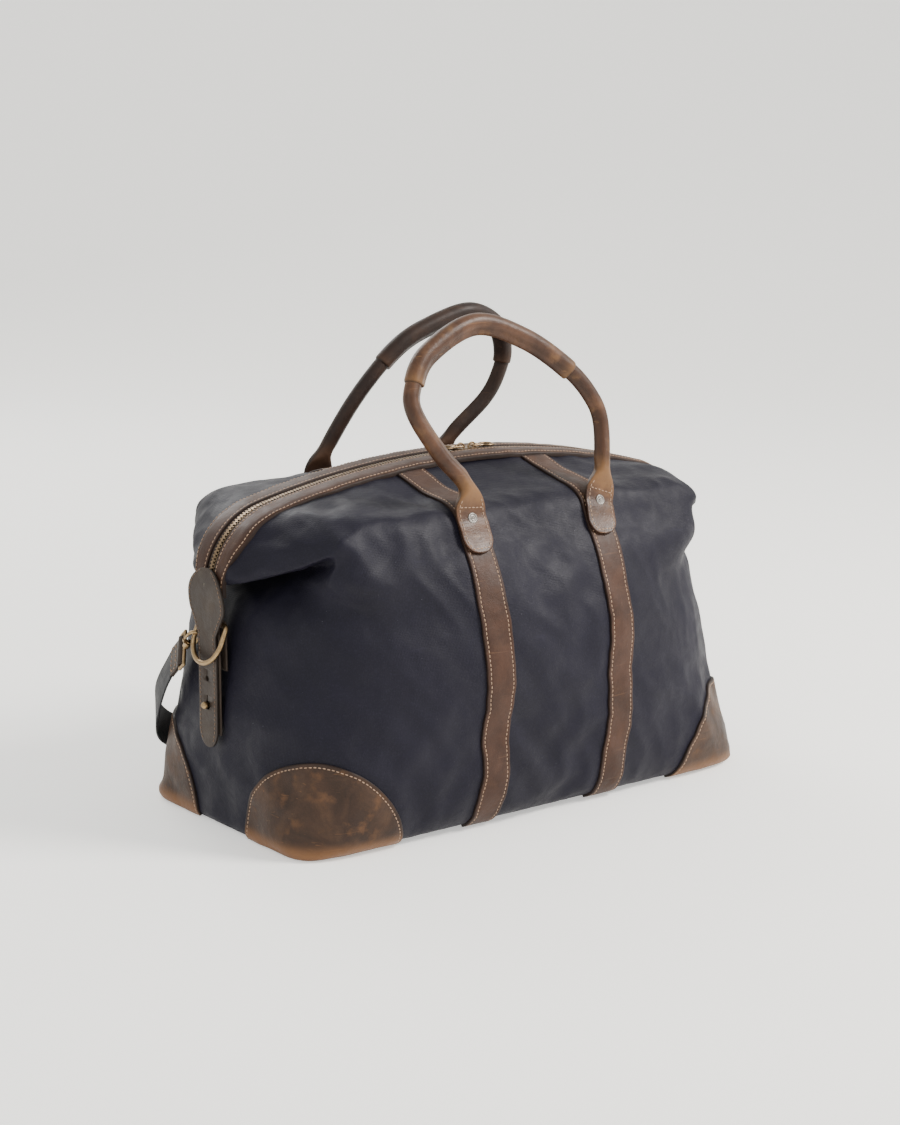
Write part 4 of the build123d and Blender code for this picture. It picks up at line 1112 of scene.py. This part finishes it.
def cut_holes(obj, sign):
    """Keyhole for the stud and a spare one above it."""
    cutters = []
    for z, radius, slot_at in ((117.4, 4.0, 122.6), (142, 2.6, 146)):
        bpy.ops.mesh.primitive_cylinder_add(
            radius=radius * MM, depth=0.02, vertices=32, location=(sign * 0.272, 0, z * MM),
            rotation=(0, math.pi / 2, 0),
        )
        cutters.append(bpy.context.object)
        bpy.ops.mesh.primitive_cube_add(size=1, location=(sign * 0.272, 0, slot_at * MM))
        bpy.context.object.scale = (0.02, 0.0012 if radius > 3 else 0.0008, 0.008)
        cutters.append(bpy.context.object)
    for cutter in cutters:
        m = obj.modifiers.new("hole", "BOOLEAN")
        m.operation, m.solver, m.object = "DIFFERENCE", "EXACT", cutter
    evaluated = obj.evaluated_get(bpy.context.evaluated_depsgraph_get())
    data = bpy.data.meshes.new_from_object(evaluated)
    obj.modifiers.clear()
    obj.data = data
    for cutter in cutters:
        bpy.data.objects.remove(cutter)


for label, sign in (("left", -1), ("right", 1)):
    end_leather(label, sign)


# -------------------- shoulder strap


def wall_angle(y, a=271.3, b=171.0, power=4.2):
    """Angle round the draped strap's oval at which it reaches y."""
    return np.arcsin(np.clip((np.asarray(y, float) / b), 0, 1) ** (power / 2))


def wall_point(angle, a=271.3, b=171.0, power=4.2):
    c, s = np.cos(angle), np.sin(angle)
    return np.sign(c) * np.abs(c) ** (2 / power) * a, b * np.abs(s) ** (2 / power)


def webbing():
    """The shoulder strap, from one chape down and behind the bag to the other, between two edge lines."""
    top_y, top_z = [73.0, 160, 171.9], [154.2, 64, 41.5]
    low_y, low_z = [53.2, 150, 168], [130.4, 27, 10.5]
    edges = []
    for ys, zs in ((top_y, top_z), (low_y, low_z)):
        first = wall_angle(ys[0])
        angle = np.linspace(first, math.pi / 2, 900)
        x, y = wall_point(angle)
        z = np.interp(y, ys, zs)
        half = resample(np.stack([x, y, z], 1), 160)
        edges.append(np.vstack([half, half[-2::-1] * (-1, 1, 1)]))
    top, low = edges
    centre = (top + low) / 2
    half = np.linalg.norm(top - low, axis=1) / 2
    side = unit(top - low)
    t = unit(np.gradient(centre, axis=0))
    n = unit(np.cross(t, side))
    n = n * np.sign(np.sum(n * centre * (1, 1, 0), axis=1))[:, None]
    # the chapes hang twisted, and the webbing turns flat against the bag below them
    run = np.concatenate([[0], np.cumsum(np.linalg.norm(np.diff(centre, axis=0), axis=1))])
    twist = smooth_step(95, 5, np.minimum(run, run[-1] - run))[:, None]
    hang = np.array([[-0.4264, 0.5814, 0.6929]]) * np.where(centre[:, :1] > 0, (1, 1, 1), (-1, 1, 1))
    side = unit(side * (1 - twist) + hang * twist)
    n = unit(np.cross(t, side)) * np.sign(np.sum(np.cross(t, side) * n, axis=1))[:, None]
    obj = sweep("shoulder_webbing", centre, side, n, np.minimum(half, 15.5), 1.0, 9, WEBBING, 32)
    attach(obj, "bag")
    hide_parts("shoulder_strap")


webbing()
body_stitches = seam_mesh("body", THREAD)
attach(body_stitches, "bag")

# -------------------- inside


def inner_layers():
    """The lining, a closed bag a little smaller than the canvas."""
    s = np.arange(0, RING, 2.0)
    t = np.arange(0, flat.rows, 2.0)
    ss, tt = np.meshgrid(s, t)
    p = flat.at(ss, tt) - flat.normal(ss, tt) * 7
    p[..., 2] = np.maximum(p[..., 2], 5.2)
    verts = list(p.reshape(-1, 3)) + [(0, 0, 5.2)]
    faces = grid_faces(len(t), len(s), True)
    faces += [((c + 1) % len(s), c, len(verts) - 1) for c in range(len(s))]
    lining = mesh_object("lining_cloth", np.array(verts) * MM, faces, LINING)
    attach(lining, "bag")
    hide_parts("lining")


LINING = plain("cotton lining", (0.32, 0.27, 0.2), 0.9)
inner_layers()

# -------------------- metal parts

FINISHES = {
    "antique_brass": (ANTIQUE, ("zip_teeth", "zip_slider", "zip_puller")),
    "brass": (BRASS, ("d_ring", "button_stud", "stud_screw", "clip_hook", "clip_gate", "swivel_eye",
                      "strap_adjuster")),
    "base_board": (plain("base board", (0.1, 0.08, 0.06)), ("base_board",)),
}
for slot, (material, endings) in FINISHES.items():
    for name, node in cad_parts.items():
        if name.endswith(endings):
            node.data.materials.clear()
            node.data.materials.append(material)

# -------------------- stage



def backdrop():
    """Floor that curves up into a wall behind the bag, as seen from the camera."""
    turn = math.radians(-37.5)
    away = np.array([-math.sin(turn), math.cos(turn)])
    aside = np.array([away[1], -away[0]])
    bend = np.linspace(0, math.pi / 2, 24)
    cove = [(2.5 + 3 * math.sin(a), 3 - 3 * math.cos(a)) for a in bend[1:]]
    profile = [(-9, 0), (2.5, 0), *cove, (5.5, 12)]
    verts = [(*(away * run + aside * wide), high) for run, high in profile for wide in (-12, 12)]
    paper = plain("floor", (0.84, 0.83, 0.80), 0.9, 1.0)
    shader = paper.node_tree.nodes["Principled BSDF"]
    shader.inputs["Emission Color"].default_value = (1, 0.99, 0.965, 1)
    shader.inputs["Emission Strength"].default_value = 0.62
    obj = mesh_object("floor", verts, grid_faces(len(profile), 2), paper)


backdrop()


def lamp(name, place, aim, size, power, colour):
    data = bpy.data.lights.new(name, "AREA")
    data.shape, data.size, data.energy, data.color = "DISK", size, power, colour
    obj = bpy.data.objects.new(name, data)
    obj.location = place
    obj.rotation_euler = (Vector(aim) - Vector(place)).to_track_quat("-Z", "Y").to_euler()
    bpy.context.scene.collection.objects.link(obj)


lamp("key", (1.5, -1.6, 1.9), (0, 0, 0.15), 1.0, 140, (1.0, 0.97, 0.93))
lamp("side", (-2.2, -0.6, 1.3), (0, 0, 0.15), 1.6, 12, (0.94, 0.97, 1.0))
lamp("back", (0.2, 2.4, 1.8), (0, 0, 0.2), 1.6, 40, (1.0, 1.0, 1.0))

world = bpy.context.scene.world or bpy.data.worlds.new("world")
bpy.context.scene.world = world
world.use_nodes = True
world.node_tree.nodes["Background"].inputs["Color"].default_value = (0.76, 0.76, 0.735, 1)
world.node_tree.nodes["Background"].inputs["Strength"].default_value = 1.2

turn, rise = math.radians(-37.5), math.radians(12)
aim = Vector((-0.001, 0, 0.2116))
data = bpy.data.cameras.new("camera")
data.lens, data.sensor_width, data.sensor_fit = 74.26, 36, "AUTO"
camera = bpy.data.objects.new("camera", data)
toward = Vector((math.sin(turn) * math.cos(rise), -math.cos(turn) * math.cos(rise), math.sin(rise)))
camera.location = aim + 2.2 * toward
camera.rotation_euler = (aim - camera.location).to_track_quat("-Z", "Y").to_euler()
bpy.context.scene.collection.objects.link(camera)
bpy.context.scene.camera = camera
